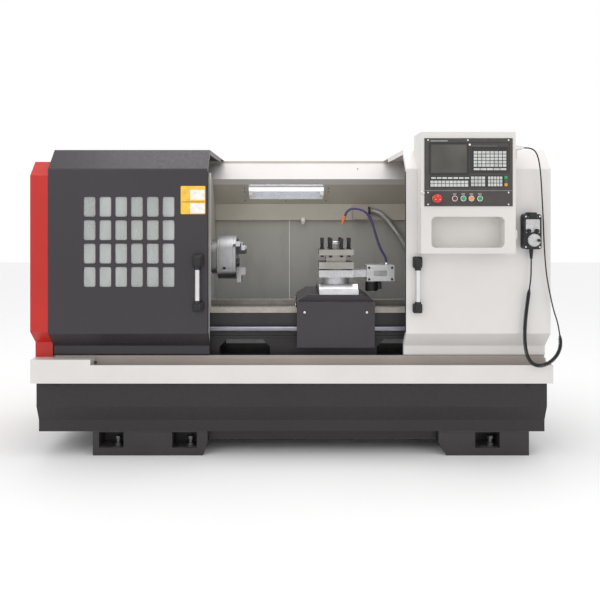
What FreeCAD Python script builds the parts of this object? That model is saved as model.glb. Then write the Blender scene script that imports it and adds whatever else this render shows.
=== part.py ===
import FreeCAD, Part
import os
from math import asin, atan2, cos, degrees, hypot, pi, radians, sin, tan

# CNC turning lathe with two sliding doors, a flat bed, a four-way tool post and a tailstock.
# Millimetres. X runs along the spindle, to the tailstock. Z is up from the floor.
# While a piece is modelled, Y is its depth behind the doors' front plane. The export then moves
# every piece by the same amount, so that the origin lies on the floor under the middle.

V = FreeCAD.Vector
os.makedirs("parts", exist_ok=True)

# Clearances
running_gap = 0.4          # between a moving piece and what carries it
fit_gap = 0.3              # round a shaft, a screw or a window

# Widths from left to right
cover_width = 92           # red end cover
cover_gap = 1
left_door_width = 829
doorway_width = 1033       # between the open doors
right_door_width = 751
tail_margin = 14           # tray beyond the right door
total_length = cover_width + cover_gap + left_door_width + doorway_width + right_door_width + tail_margin
tray_left = -total_length / 2
tray_right = total_length / 2
cover_right = tray_left + cover_width
left_door_x0 = cover_right + cover_gap
left_door_x1 = left_door_x0 + left_door_width
right_door_x0 = left_door_x1 + doorway_width
right_door_x1 = right_door_x0 + right_door_width
middle_gap = 4             # left between the shut doors
door_travel = (doorway_width - middle_gap) / 2

# Depths
machine_depth = 1150       # from the doors' front plane to the back of the cabinet
stop_reach = 150           # the stop button stands this far in front of the doors
front_shift = (stop_reach - machine_depth) / 2
tray_depth = 1000
back_wall_d = 905          # inner face of the rear guard

# Sheet metal
sheet = 3
tray_sheet = 4
base_sheet = 6

# Red end cover
cover_drop = 66             # from the doors' top to the cover's top
cover_bevel = 76
cover_waist_d = 77
cover_waist_z = 600
cover_slope = 67
cover_depth = 900
vent_bottom = 640
vent_pitch = 20
vent_count = 6
vent_height = 8
vent_width = 180
vent_lead = 120             # the vents start this far in front of the motor's axis
bar_hole_margin = 8

# Feet, stand and tray
foot_height = 129
foot_front = 70
foot_plate = 40            # floor of the pockets
pocket_depth = 120
pocket_width = 130
base_top = 398
stand_inset = 22           # from the tray's end to the stand's end
base_front = 30
base_waist = 37            # how far the stand's lower part steps back
base_slope_top = 270
base_slope_bottom = 190
beam_height = 59           # cross beams under the stand
beam_depth = 120           # front beam behind the door plane
beam_width = 40
hand_hole_side = 160       # from a foot to the hole in the stand's floor
hand_hole_front = 250
track_top = 513
track_margin = 4
track_rail_inset = 8
track_rail_width = 10
tray_floor = base_top + tray_sheet
tray_top = 493
end_box_width = 312
end_box_top = 521

# Doors
door_top = 1622
door_bevel_height = 108    # the front face ends this far below the top and slopes back
door_bevel_z = door_top - door_bevel_height
door_bevel_d = 105
door_waist_top = 658
door_waist_bottom = 580
door_waist_d = 85
door_bottom = 526
door_hem = 25
door_flange = 26
flange_end_d = 700
bend_radius = 12
roof_depth = 925

cover_top = door_top - cover_drop

# Window in the left door
window_columns = 6
window_rows = 4
window_hole_width = 65.5
window_hole_height = 107.6
window_pitch_x = 82.1
window_pitch_z = 121.7
window_left = 183          # from the door's left edge to the first hole
window_bottom = 898
window_corner = 12
pane_margin = 16

# Rear guard, canopy and lamp
canopy_ridge_gap = 10      # below the doors' top
canopy_slope_height = 117  # from the ridge down to the front edge
canopy_lamp_height = 154   # of the panel that holds the lamp
canopy_lip_height = 103
canopy_back_height = 72
canopy_front_reach = 165   # in front of the rear guard
canopy_knee_reach = 25
canopy_ridge_z = door_top - canopy_ridge_gap
canopy_front_z = canopy_ridge_z - canopy_slope_height
canopy_knee_z = canopy_front_z - canopy_lamp_height
canopy_lip_z = canopy_knee_z - canopy_lip_height
canopy_back_z = canopy_ridge_z - canopy_back_height
canopy_front_d = back_wall_d - canopy_front_reach
canopy_knee_d = back_wall_d - canopy_knee_reach
lamp_left = 1085           # from the tray's left end to the lamp
lamp_width = 481
lamp_height = 128
lamp_depth = 55
tube_radius = 13
rear_seam = 1
seam_offset = 1345         # from the tray's left end to the seam of the rear panels

# Fixed guards
guard_d = 114
guard_drop = 122            # from the doors' top to the headstock guard's top
guard_top = door_top - guard_drop
post_depth = 72
tail_guard_width = 480
tail_guard_drop = 142
tail_guard_top = door_top - tail_guard_drop

# Bed and spindle
bed_left = -1200
bed_tail_gap = 110         # from the bed's end to the tray's end
bed_front = 165
bed_width = 400
bed_way_top = 772
way_width = 75
bed_groove_floor = 680
spindle_z = 1035
spindle_d = 361
spindle_radius = 45
spindle_bore = 26.5
spindle_rear_gap = 15      # from the tray's left end to the spindle's rear end
partition_gap = 52         # from the left door's edge back to the headstock partition
nose_radius = 96
nose_width = 34
nose_gap = 39              # from the partition to the spindle flange
chuck_radius = 125
chuck_width = 107
jaw_width = 32
jaw_inner = 60
jaw_outer = 145
jaw_angles = (57, 177, 297)    # from straight up, turning towards the front
jaw_tenon = 20
jaw_slot_depth = 15
jaw_base_depth = 24
jaw_step_depth = 24
jaw_step_length = 42
key_radius = 9              # chuck key sockets
key_turn = 60
key_inset = 12
key_depth_in_chuck = 30
chuck_chamfer = 3

# Belt drive
spindle_pulley_radius = 80
motor_pulley_radius = 60
pulley_width = 40
pulley_inset = 30          # from the tray's left end to the pulleys
belt_thickness = 8
motor_d = 780
motor_z = 690
motor_radius = 115
motor_length = 360
motor_gap = 30              # from the end cover to the motor
motor_shaft_radius = 19
motor_shaft_depth = 60
motor_foot_start = 60
motor_foot_end = 40
motor_foot_half = 60
terminal_start = 110
terminal_size = 120
terminal_base = 90          # above the motor's axis
terminal_height = 70
belt_inset = 4

# Carriage, cross slide and tool post
carriage_x0 = 28
carriage_width = 417
apron_front = 114
apron_bottom = 563
apron_top = 804
saddle_top = 840
slide_top = 893
slide_x0 = 150
slide_width = 213
slide_d0 = 190
slide_length = 380
post_x = 245
post_d = 297
post_size = 190
post_core = 110
post_bottom = 977
slot_bottom = 1014
slot_top = 1052
post_top = 1083
hub_radius = 32
hub_top = 1112
clamp_screw_top = 1145
clamp_screw_radius = 8
clamp_screw_offset = 30
clamp_screw_inset = 20

# Tailstock
tail_x0 = 880
tail_length = 250
tail_width = 300
quill_radius = 35
quill_reach = 90
centre_length = 60

# Control box on the right door
box_offset = 58            # from the door's left edge
box_width = 477
box_bottom = 1080
box_top = 1694
box_back = 100
box_front = -110
panel_depth = 22
stop_radius = 22
button_radius = 14


# ---- shape helpers: d is depth, z is height -------------------------------------------------

def box(x0, x1, d0, d1, z0, z1):
    return Part.makeBox(x1 - x0, d1 - d0, z1 - z0, V(x0, d0, z0))


def rod_x(radius, x0, x1, d, z):
    return Part.makeCylinder(radius, x1 - x0, V(x0, d, z), V(1, 0, 0))


def rod_d(radius, d0, d1, x, z):
    return Part.makeCylinder(radius, d1 - d0, V(x, d0, z), V(0, 1, 0))


def rod_z(radius, z0, z1, x, d):
    return Part.makeCylinder(radius, z1 - z0, V(x, d, z0), V(0, 0, 1))


def prism_x(points, x0, x1):
    # A closed outline of (d, z) points, drawn out from x0 to x1.
    corners = [V(x0, d, z) for d, z in points]
    return Part.Face(Part.makePolygon(corners + corners[:1])).extrude(V(x1 - x0, 0, 0))


def prism_d(points, d0, d1):
    # A closed outline of (x, z) points, drawn out from d0 to d1.
    corners = [V(x, d0, z) for x, z in points]
    return Part.Face(Part.makePolygon(corners + corners[:1])).extrude(V(0, d1 - d0, 0))


def moved_aside(points, gap):
    # The same folded line, moved to its left by gap, with mitred corners.
    moved = []
    for i, (d, z) in enumerate(points):
        runs = [(points[j], points[j + 1]) for j in (i - 1, i) if 0 <= j < len(points) - 1]
        normals = []
        for (d0, z0), (d1, z1) in runs:
            length = hypot(d1 - d0, z1 - z0)
            normals.append(((z0 - z1) / length, (d1 - d0) / length))
        (nd, nz), (md, mz) = normals[0], normals[-1]
        scale = gap / (1 + nd * md + nz * mz)
        moved.append((d + (nd + md) * scale, z + (nz + mz) * scale))
    return moved


def folded_sheet(points, thickness, x0, x1):
    return prism_x(points + moved_aside(points, thickness)[::-1], x0, x1)


def rounded_block(x0, x1, d0, d1, z0, z1, radius, axis):
    # A block whose four edges along one axis are round.
    block = box(x0, x1, d0, d1, z0, z1)
    along = {"x": V(1, 0, 0), "d": V(0, 1, 0), "z": V(0, 0, 1)}[axis]
    edges = [e for e in block.Edges if e.Curve.Direction.cross(along).Length < 0.001]
    return block.makeFillet(radius, edges)


def joined(first, *others):
    return first.fuse(list(others)).removeSplitter()


def save(node, *solids):
    shape = solids[0] if len(solids) == 1 else Part.makeCompound(list(solids))
    shape = shape.copy()
    shape.translate(V(0, front_shift, 0))
    count = len(shape.Solids)
    print(f"{node}: {count} solid(s), valid {shape.isValid()}, {shape.Volume / 1000:.0f} cm3")
    shape.exportStep(f"parts/{node}.step")


# ---- feet, stand and chip tray --------------------------------------------------------------

left_foot_inset = 306       # from the tray's left end
left_foot_length = 584
right_foot_inset = 103
right_foot_length = 437
left_pocket_insets = (33, 421)  # from the foot's left side
right_pocket_inset = 152
left_foot_x0 = tray_left + left_foot_inset
left_foot_x1 = left_foot_x0 + left_foot_length
right_foot_x1 = tray_right - right_foot_inset
right_foot_x0 = right_foot_x1 - right_foot_length
foot_chamfer = 24          # the inner side leans out below the stand
right_foot_chamfer = 42
foot_back = tray_depth - foot_front
left_pockets = tuple(left_foot_x0 + inset for inset in left_pocket_insets)
right_pockets = (right_foot_x0 + right_pocket_inset,)
anchor_radius = 9
anchor_offset = 32         # from the pocket's left side to the anchor hole
levelling_radius = 12
levelling_offset = 92
levelling_inset = 50       # from the foot's face to the screws and anchor holes
levelling_head_z = 78
levelling_head_radius = 18
levelling_head_height = 14
levelling_nut_radius = 20
levelling_nut_height = 16

# Front and rear end of a pocket, and the depth of its screws
foot_ends = (
    (foot_front - 1, foot_front + pocket_depth, foot_front + levelling_inset),
    (foot_back - pocket_depth, foot_back + 1, foot_back - levelling_inset),
)


def foot(outline, pockets):
    body = prism_d(outline, foot_front, foot_back)
    cuts = []
    for x0 in pockets:
        for d0, d1, screw_d in foot_ends:
            cuts.append(box(x0, x0 + pocket_width, d0, d1, foot_plate, foot_height - base_sheet))
            cuts.append(rod_z(anchor_radius, -1, foot_plate + 1, x0 + anchor_offset, screw_d))
            cuts.append(rod_z(levelling_radius + fit_gap, -1, foot_plate + 1, x0 + levelling_offset, screw_d))
    return body.cut(cuts)


def levelling_screw(x, d):
    r = levelling_head_radius
    hexagon = [V(x + r * cos(radians(60 * i)), d + r * sin(radians(60 * i)), levelling_head_z) for i in range(6)]
    head = Part.Face(Part.makePolygon(hexagon + hexagon[:1])).extrude(V(0, 0, levelling_head_height))
    nut = rod_z(levelling_nut_radius, foot_plate, foot_plate + levelling_nut_height, x, d)
    return joined(rod_z(levelling_radius, 1, levelling_head_z, x, d), nut, head)


def feet():
    beam_z = foot_height - beam_height
    left = [(left_foot_x0, 0), (left_foot_x1, 0), (left_foot_x1 + foot_chamfer, beam_z),
            (left_foot_x1 + foot_chamfer, foot_height), (left_foot_x0, foot_height)]
    right = [(right_foot_x0, 0), (right_foot_x1, 0), (right_foot_x1, foot_height),
             (right_foot_x0 - right_foot_chamfer, foot_height), (right_foot_x0 - right_foot_chamfer, beam_z)]
    save("left_foot", foot(left, left_pockets))
    save("right_foot", foot(right, right_pockets))
    screws = [levelling_screw(x + levelling_offset, end[2])
              for x in left_pockets + right_pockets for end in foot_ends]
    save("levelling_screws", *screws)


def stand():
    # Hollow welded stand: its lower part steps back front and rear, and beams join the feet.
    waist_front = base_front + base_waist
    back = tray_depth - base_front
    waist_back = tray_depth - waist_front
    outer = [(base_front, base_top), (base_front, base_slope_top), (waist_front, base_slope_bottom),
             (waist_front, foot_height), (waist_back, foot_height), (waist_back, base_slope_bottom),
             (back, base_slope_top), (back, base_top)]
    s = base_sheet
    inner = [(base_front + s, base_top - s), (base_front + s, base_slope_top), (waist_front + s, base_slope_bottom),
             (waist_front + s, foot_height + s), (waist_back - s, foot_height + s), (waist_back - s, base_slope_bottom),
             (back - s, base_slope_top), (back - s, base_top - s)]
    half = tray_right - stand_inset
    shell = prism_x(outer, -half, half).cut(prism_x(inner, -half + s, half - s))
    hand_hole = box(left_foot_x1 + hand_hole_side, right_foot_x0 - hand_hole_side, hand_hole_front,
                    tray_depth - hand_hole_front, foot_height - 1, foot_height + s + 1)
    beam_x0 = left_foot_x1 + foot_chamfer + 1
    beam_x1 = right_foot_x0 - right_foot_chamfer - 1
    beams = [box(beam_x0, beam_x1, d, d + beam_width, foot_height - beam_height, foot_height)
             for d in (beam_depth, tray_depth - beam_depth - beam_width)]
    save("base_stand", joined(shell.cut(hand_hole), *beams))


def chip_tray():
    # Folded tray; its left end is a raised closed box that carries the red cover.
    t = tray_sheet
    tray = box(tray_left, tray_right, 0, tray_depth, base_top, tray_top)
    tray = tray.cut(box(tray_left + t, tray_right - t, t, tray_depth - t, tray_floor, tray_top + 1))
    end_x1 = tray_left + end_box_width
    end_box = box(tray_left, end_x1, 0, tray_depth, base_top, end_box_top)
    inside = box(tray_left + t, end_x1 - t, t, tray_depth - t, base_top - 1, end_box_top - t)
    save("chip_tray", joined(tray, end_box).cut(inside.common(end_box)))


def front_track():
    # Gutter wall and the rail that the doors' hems run over.
    end_x1 = tray_left + end_box_width
    t = sheet
    x1 = right_door_x1 + track_margin
    wall = box(end_x1, x1, door_waist_d, door_waist_d + t, tray_floor, track_top)
    shelf = box(end_x1, x1, door_waist_d, door_waist_d + door_hem, track_top - t, track_top)
    rail_top = door_bottom - running_gap
    rail_d0 = door_waist_d + track_rail_inset
    rail_d1 = rail_d0 + track_rail_width
    rail = box(end_x1, right_door_x1, rail_d0, rail_d1, track_top - t, rail_top)
    end_rail = box(left_door_x0 + 2, end_x1 + 1, rail_d0, rail_d1, end_box_top, rail_top)
    save("front_track", joined(wall, shelf, rail, end_rail))


# ---- red end cover and its belt drive -------------------------------------------------------

def end_cover():
    # Open towards the headstock; a round hole in its wall passes bar stock to the spindle.
    outline = [(cover_waist_d, end_box_top), (cover_waist_d, cover_waist_z), (0, cover_waist_z + cover_slope),
               (0, cover_top - cover_bevel), (cover_bevel, cover_top), (cover_depth, cover_top),
               (cover_depth, end_box_top)]
    hollow = moved_aside(outline, -sheet)
    hollow = [(hollow[0][0], end_box_top - 1)] + hollow[1:-1] + [(hollow[-1][0], end_box_top - 1)]
    shell = prism_x(outline, tray_left, cover_right)
    bar_hole = rod_x(spindle_bore + bar_hole_margin, tray_left - 1, tray_left + sheet + 1, spindle_d, spindle_z)
    vent_d = motor_d - vent_lead
    vents = [box(tray_left - 1, tray_left + sheet + 1, vent_d, vent_d + vent_width, z, z + vent_height)
             for z in (vent_bottom + i * vent_pitch for i in range(vent_count))]
    save("end_cover", shell.cut([prism_x(hollow, tray_left + sheet, cover_right + 1), bar_hole] + vents))


spindle_x0 = tray_left + spindle_rear_gap
pulley_x0 = tray_left + pulley_inset
partition_x = left_door_x1 - partition_gap
nose_x0 = partition_x + nose_gap
chuck_x0 = nose_x0 + nose_width
chuck_x1 = chuck_x0 + chuck_width


def spindle():
    shaft = rod_x(spindle_radius, spindle_x0, nose_x0 + 1, spindle_d, spindle_z)
    pulley = rod_x(spindle_pulley_radius, pulley_x0, pulley_x0 + pulley_width, spindle_d, spindle_z)
    flange = rod_x(nose_radius, nose_x0, chuck_x0, spindle_d, spindle_z)
    bore = rod_x(spindle_bore, spindle_x0 - 1, chuck_x0 + 1, spindle_d, spindle_z)
    save("spindle", joined(shaft, pulley, flange).cut(bore))


def radial_block(angle, x0, x1, r0, r1, width):
    # A block that lies along a radius of the spindle, at an angle from straight up.
    block = box(x0, x1, -width / 2, width / 2, r0, r1)
    block.rotate(V(0, 0, 0), V(1, 0, 0), angle)
    block.translate(V(0, spindle_d, spindle_z))
    return block


def chuck():
    body = rod_x(chuck_radius, chuck_x0, chuck_x1, spindle_d, spindle_z)
    bore = rod_x(spindle_bore + 6, chuck_x0 - 1, chuck_x1 + 1, spindle_d, spindle_z)
    slots = [radial_block(angle, chuck_x1 - jaw_slot_depth, chuck_x1 + 1, 40, chuck_radius + 2,
                          jaw_tenon + 2 * fit_gap) for angle in jaw_angles]
    keys = []
    for angle in jaw_angles:
        key = rod_z(key_radius, chuck_radius - key_depth_in_chuck, chuck_radius + 5,
                    (chuck_x0 + chuck_x1) / 2 - key_inset, 0)
        key.rotate(V(0, 0, 0), V(1, 0, 0), angle + key_turn)
        key.translate(V(0, spindle_d, spindle_z))
        keys.append(key)
    rim = body.makeChamfer(chuck_chamfer, [e for e in body.Edges if e.Length > pi * chuck_radius])
    save("chuck_body", rim.cut([bore] + slots + keys))


def jaws():
    for number, angle in enumerate(jaw_angles, start=1):
        face = chuck_x1 + running_gap
        tenon = radial_block(angle, chuck_x1 - jaw_slot_depth + running_gap, face + 1, jaw_inner + 5,
                             jaw_outer - 35, jaw_tenon)
        step_x = face + jaw_base_depth
        base = radial_block(angle, face, step_x, jaw_inner, jaw_outer, jaw_width)
        step = radial_block(angle, step_x - 1, step_x + jaw_step_depth, jaw_inner, jaw_inner + jaw_step_length,
                            jaw_width)
        save(f"jaw_{number}", joined(tenon, base, step))


def belt_loop(radius):
    # The outline of a tight loop round both pulleys, with the given radius added to each.
    r0 = spindle_pulley_radius + radius
    r1 = motor_pulley_radius + radius
    span = hypot(motor_d - spindle_d, motor_z - spindle_z)
    heading = atan2(motor_z - spindle_z, motor_d - spindle_d)
    lean = asin((r0 - r1) / span)
    corners = []
    for side in (1, -1):
        a = heading + side * (pi / 2 - lean)
        corners.append(((spindle_d + r0 * cos(a), spindle_z + r0 * sin(a)),
                        (motor_d + r1 * cos(a), motor_z + r1 * sin(a))))
    (a0, a1), (b0, b1) = corners
    x0 = pulley_x0 + belt_inset
    x1 = pulley_x0 + pulley_width - belt_inset
    body = prism_x([a0, a1, b1, b0], x0, x1)
    return joined(body, rod_x(r0, x0, x1, spindle_d, spindle_z), rod_x(r1, x0, x1, motor_d, motor_z))


def belt_drive():
    save("drive_belt", belt_loop(running_gap + belt_thickness).cut(belt_loop(running_gap)))
    motor_x0 = cover_right + motor_gap
    motor_x1 = motor_x0 + motor_length
    pulley = rod_x(motor_pulley_radius, pulley_x0, pulley_x0 + pulley_width, motor_d, motor_z)
    shaft = rod_x(motor_shaft_radius, pulley_x0, motor_x0 + motor_shaft_depth, motor_d, motor_z)
    save("motor_pulley", joined(pulley, shaft))
    body = rod_x(motor_radius, motor_x0, motor_x1, motor_d, motor_z)
    shaft_hole = rod_x(motor_shaft_radius + fit_gap, motor_x0 - 1, motor_x0 + motor_shaft_depth + 1, motor_d, motor_z)
    foot_block = box(motor_x0 + motor_foot_start, motor_x1 - motor_foot_end, bed_front + bed_width, motor_d,
                     motor_z - motor_foot_half, motor_z + motor_foot_half)
    terminal_x0 = motor_x0 + terminal_start
    terminal_z0 = motor_z + terminal_base
    terminal_box = box(terminal_x0, terminal_x0 + terminal_size, motor_d - terminal_size / 2,
                       motor_d + terminal_size / 2, terminal_z0, terminal_z0 + terminal_height)
    save("main_motor", joined(body, foot_block, terminal_box).cut(shaft_hole))


# ---- bed, headstock and fixed guards --------------------------------------------------------

arch_bottom = 504
arch_top = 599
arch_chamfer = 40
arch_width = 274
first_arch = 98            # from the headstock partition to the first arch
second_arch = 952
rail_radius = 15
rail_z = 657
rail_d = 148
rail_blocks = 34
rail_block_reach = 22      # how far a block stands in front of the rail's axis
rail_block_half = 24
rail_start = 10            # from the headstock partition to the rail
ledge_start = 8
ledge_bottom = 610
ledge_top = 618
ledge_reach = 7


def bed_end():
    return tray_right - bed_tail_gap


def bed():
    back = bed_front + bed_width
    upper = box(bed_left, bed_end(), bed_front, back, end_box_top, bed_way_top)
    lower = box(tray_left + end_box_width + 1, bed_end(), bed_front, back, tray_floor, end_box_top + 1)
    body = joined(upper, lower)
    groove = box(bed_left - 1, bed_end() + 1, bed_front + way_width, back - way_width, bed_groove_floor,
                 bed_way_top + 1)
    arches = []
    for start in (first_arch, second_arch):
        x0 = partition_x + start
        x1 = x0 + arch_width
        outline = [(x0, arch_bottom), (x1, arch_bottom), (x1, arch_top - arch_chamfer),
                   (x1 - arch_chamfer, arch_top), (x0 + arch_chamfer, arch_top), (x0, arch_top - arch_chamfer)]
        arches.append(prism_d(outline, bed_front - 1, back + 1))
    ledge = box(partition_x + ledge_start, bed_end(), bed_front - ledge_reach, bed_front, ledge_bottom, ledge_top)
    blocks = [box(x, x + rail_blocks, rail_d - rail_block_reach, bed_front, rail_z - rail_block_half,
                  rail_z + rail_block_half)
              for x in (partition_x + rail_start, bed_end() - rail_blocks)]
    rail_holes = rod_x(rail_radius, partition_x, bed_end() + 1, rail_d, rail_z)
    save("bed", joined(body.cut([groove] + arches), ledge, *blocks).cut(rail_holes))
    save("carriage_rail", rod_x(rail_radius, partition_x + rail_start, bed_end(), rail_d, rail_z))


headstock_gap = 12         # from the headstock to its partition
headstock_radius = 165     # of its round crown
headstock_back = 185       # from the spindle's axis back to its rear face
bearing_wall = 22
bearing_reach = 26
headstock_roof = 420
tail_roof = 300
nose_clearance = 8


def headstock():
    x0 = bed_left
    x1 = partition_x - headstock_gap
    body = box(x0, x1, spindle_d - headstock_radius, spindle_d + headstock_back, bed_way_top, spindle_z - 20)
    crown = rod_x(headstock_radius, x0, x1, spindle_d, spindle_z)
    bore = rod_x(spindle_radius + fit_gap, x0 - 1, x1 + 1, spindle_d, spindle_z)
    front_bearing = rod_x(spindle_radius + bearing_wall, x1, partition_x + bearing_reach, spindle_d, spindle_z)
    inner = rod_x(spindle_radius + fit_gap, x1 - 1, partition_x + bearing_reach + 1, spindle_d, spindle_z)
    save("headstock", joined(body, crown, front_bearing).cut([bore, inner]))


def headstock_guard():
    # Folded guard round the headstock, with its spindle wall and the post beside the doorway.
    d0 = guard_d
    t = sheet
    top = guard_top
    post_x1 = left_door_x1 - 2
    end_x1 = tray_left + end_box_width
    front = box(left_door_x0 + 5, post_x1, d0, d0 + t, end_box_top, top)
    lower = box(end_x1 + 2, post_x1, d0, d0 + t, tray_floor, end_box_top + 1)
    post = box(post_x1 - t, post_x1, d0, d0 + post_depth, tray_floor, top)
    wall = guard_wall(partition_x - t, partition_x, top)
    roof = box(left_door_x0 + 5, partition_x, d0, d0 + headstock_roof, top - t, top)
    nose_hole = rod_x(nose_radius + nose_clearance, partition_x - t - 1, partition_x + 1, spindle_d, spindle_z)
    bed_hole = box(partition_x - t - 1, post_x1 + 1, rail_d - rail_block_reach - fit_gap,
                   bed_front + bed_width + fit_gap, tray_floor - 1, bed_way_top + fit_gap)
    save("headstock_guard", joined(front, lower, post, wall, roof).cut([nose_hole, bed_hole]))


def guard_wall(x0, x1, top):
    # A cross wall that follows the canopy's underside at its upper rear corner.
    gap = 10
    back = back_wall_d - sheet
    outline = [(guard_d, tray_floor), (back, tray_floor), (back, canopy_lip_z - gap),
               (canopy_knee_d - gap, canopy_lip_z - gap), (canopy_knee_d - gap, canopy_knee_z - gap),
               (canopy_front_d - gap, canopy_front_z - gap), (canopy_front_d - gap, top), (guard_d, top)]
    return prism_x(outline, x0, x1)


def tail_guard():
    x1 = right_door_x1 - 6
    x0 = x1 - tail_guard_width
    t = sheet
    front = box(x0, x1, guard_d, guard_d + t, tray_floor, tail_guard_top)
    side = guard_wall(x1 - t, x1, tail_guard_top)
    roof = box(x0, x1, guard_d, guard_d + tail_roof, tail_guard_top - t, tail_guard_top)
    save("tail_guard", joined(front, side, roof))


# ---- rear guard, canopy, lamp and conduit ---------------------------------------------------

guard_x0 = left_door_x0
guard_x1 = right_door_x1


def rear_guard():
    seam = tray_left + seam_offset
    d0 = back_wall_d
    d1 = back_wall_d + sheet
    left = box(guard_x0, seam - rear_seam / 2, d0, d1, tray_floor, canopy_ridge_z - 20)
    right = box(seam + rear_seam / 2, guard_x1, d0, d1, tray_floor, canopy_ridge_z - 20)
    end_box_notch = box(guard_x0 - 1, tray_left + end_box_width + 1, d0 - 1, d1 + 1, tray_floor - 1, end_box_top)
    save("rear_guard", left.cut(end_box_notch), right)


def lamp_frame(shape):
    # Puts a shape that is drawn flat, its middle at the origin and +Y outwards, on the lamp panel.
    run_d = canopy_front_d - canopy_knee_d
    run_z = canopy_front_z - canopy_knee_z
    tilt = degrees(atan2(run_d, run_z))
    shape.rotate(V(0, 0, 0), V(1, 0, 0), -tilt)
    shape.translate(V(tray_left + lamp_left + lamp_width / 2, (canopy_front_d + canopy_knee_d) / 2,
                      (canopy_front_z + canopy_knee_z) / 2))
    return shape


def canopy():
    path = [(back_wall_d, canopy_lip_z), (canopy_knee_d, canopy_lip_z), (canopy_knee_d, canopy_knee_z),
            (canopy_front_d, canopy_front_z), (back_wall_d + 2 * sheet, canopy_ridge_z),
            (back_wall_d + 2 * sheet, canopy_back_z)]
    shell = folded_sheet(path, -sheet, guard_x0, guard_x1)
    rail = box(guard_x0, guard_x1, back_wall_d - 6, back_wall_d + 4, canopy_ridge_z - 12,
               door_top - sheet - running_gap)
    opening = lamp_frame(rounded_block(-lamp_width / 2, lamp_width / 2, -30, 30, -lamp_height / 2,
                                       lamp_height / 2, 18, "d"))
    save("canopy", joined(shell, rail).cut(opening))


def lamp():
    w = lamp_width / 2 - fit_gap
    h = lamp_height / 2 - fit_gap
    outer = rounded_block(-w, w, 0, lamp_depth, -h, h, 17, "d")
    inner = rounded_block(-w + sheet, w - sheet, -1, lamp_depth - sheet, -h + sheet, h - sheet, 14, "d")
    half = w - sheet
    tube = rod_x(tube_radius, -half, half, 24, 0)
    save("lamp_housing", lamp_frame(outer.cut(inner)))
    save("lamp_tube", lamp_frame(tube))


# Armoured conduit from the lamp's junction box to the box beside the tailstock: (x, z)
conduit_radius = 20
conduit_d = back_wall_d - 48
conduit_start = canopy_lip_z + 59   # height of the upper end, on the canopy's box
conduit_box_reach = 27
upper_box_width = 96
upper_box_drop = 54
upper_box_rise = 33
lower_box_half = 48
lower_box_height = 90
conduit_route = ((486, conduit_start), (544, conduit_start), (602, conduit_start - 47), (660, 1174), (714, 1096), (764, 1010), (793, 908),
                 (793, 800))


def tube_along(points, radius, print_name):
    # Straight runs joined by tangent arcs, each as large as its two runs allow.
    points = [V(*p) for p in points]
    edges = []
    radii = []
    start = points[0]
    for before, corner, after in zip(points, points[1:], points[2:]):
        into = (corner - before).normalize()
        out = (after - corner).normalize()
        turn = into.getAngle(out)
        reach = 0.45 * min((corner - before).Length, (after - corner).Length)
        radii.append(reach / tan(turn / 2))
        bend_start = corner - into * reach
        bend_end = corner + out * reach
        middle = corner + (out - into).normalize() * (radii[-1] / cos(turn / 2) - radii[-1])
        edges.append(Part.LineSegment(start, bend_start).toShape())
        edges.append(Part.Arc(bend_start, middle, bend_end).toShape())
        start = bend_end
    edges.append(Part.LineSegment(start, points[-1]).toShape())
    wire = Part.Wire(edges)
    heading = (points[1] - points[0]).normalize()
    section = Part.Wire(Part.makeCircle(radius, points[0], heading))
    tube = wire.makePipeShell([section], True, False)
    expected = pi * radius ** 2 * wire.Length
    print(f"{print_name}: length {wire.Length:.0f}, radii {[round(r) for r in radii]}, "
          f"volume {tube.Volume / expected:.4f} of section times length")
    return tube


def conduit():
    route = [(x, conduit_d, z) for x, z in conduit_route]
    save("wiring_conduit", tube_along(route, conduit_radius, "wiring_conduit"))
    x0, z0 = conduit_route[0]
    x1, z1 = conduit_route[-1]
    front = conduit_d - conduit_box_reach
    upper = box(x0 - upper_box_width, x0, front, canopy_knee_d, z0 - upper_box_drop, z0 + upper_box_rise)
    lower = box(x1 - lower_box_half, x1 + lower_box_half, front, back_wall_d, z1 - lower_box_height, z1)
    save("conduit_boxes", upper, lower)


# ---- hinges ---------------------------------------------------------------------------------

hinge_radius = 6
hinge_pin_radius = 2.5
hinge_length = 45
hinge_leaf = 3
hinge_leaf_reach = 34
hinge_offset = hinge_radius + 0.5   # from the doors' side to the hinge's axis
hinge_lift = hinge_radius + running_gap   # from the joint between door and box to the axis


def hinge(x, seam_d, way, low):
    # A knuckle on the moving front, and one with the pin on the box behind it; way is +1 where
    # the front lies at a greater depth than the box.
    d = seam_d + way * hinge_lift
    middle = low + hinge_length / 2
    side = x - hinge_offset
    knuckle = rod_z(hinge_radius, low, middle - running_gap, x, d)
    tab = box(side, x, d - hinge_leaf, d + hinge_leaf, low, middle - running_gap)
    bore = rod_z(hinge_pin_radius + fit_gap, low - 1, middle, x, d)
    moving = joined(knuckle, tab).cut(bore)
    far = d - way * hinge_leaf_reach
    leaf = box(side, side + hinge_leaf, min(d, far), max(d, far), middle, low + hinge_length)
    pin = rod_z(hinge_pin_radius, low, low + hinge_length, x, d)
    fixed = joined(rod_z(hinge_radius, middle, low + hinge_length, x, d), leaf, pin)
    return moving, fixed


# ---- electrical cabinet and coolant pump ----------------------------------------------------

cabinet_x0 = 300
cabinet_width = 900
cabinet_bottom = 560
cabinet_top = 1500
door_sheet = 18            # depth of the cabinet door's folded rim
plate_inset = 60           # mounting plate inside the cabinet
plate_thickness = 12
louvre_start = 80
louvre_count = 7
louvre_pitch = 24
louvre_height = 8
louvre_inset = 60
cabinet_hinge_heights = (690, 1320)


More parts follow.
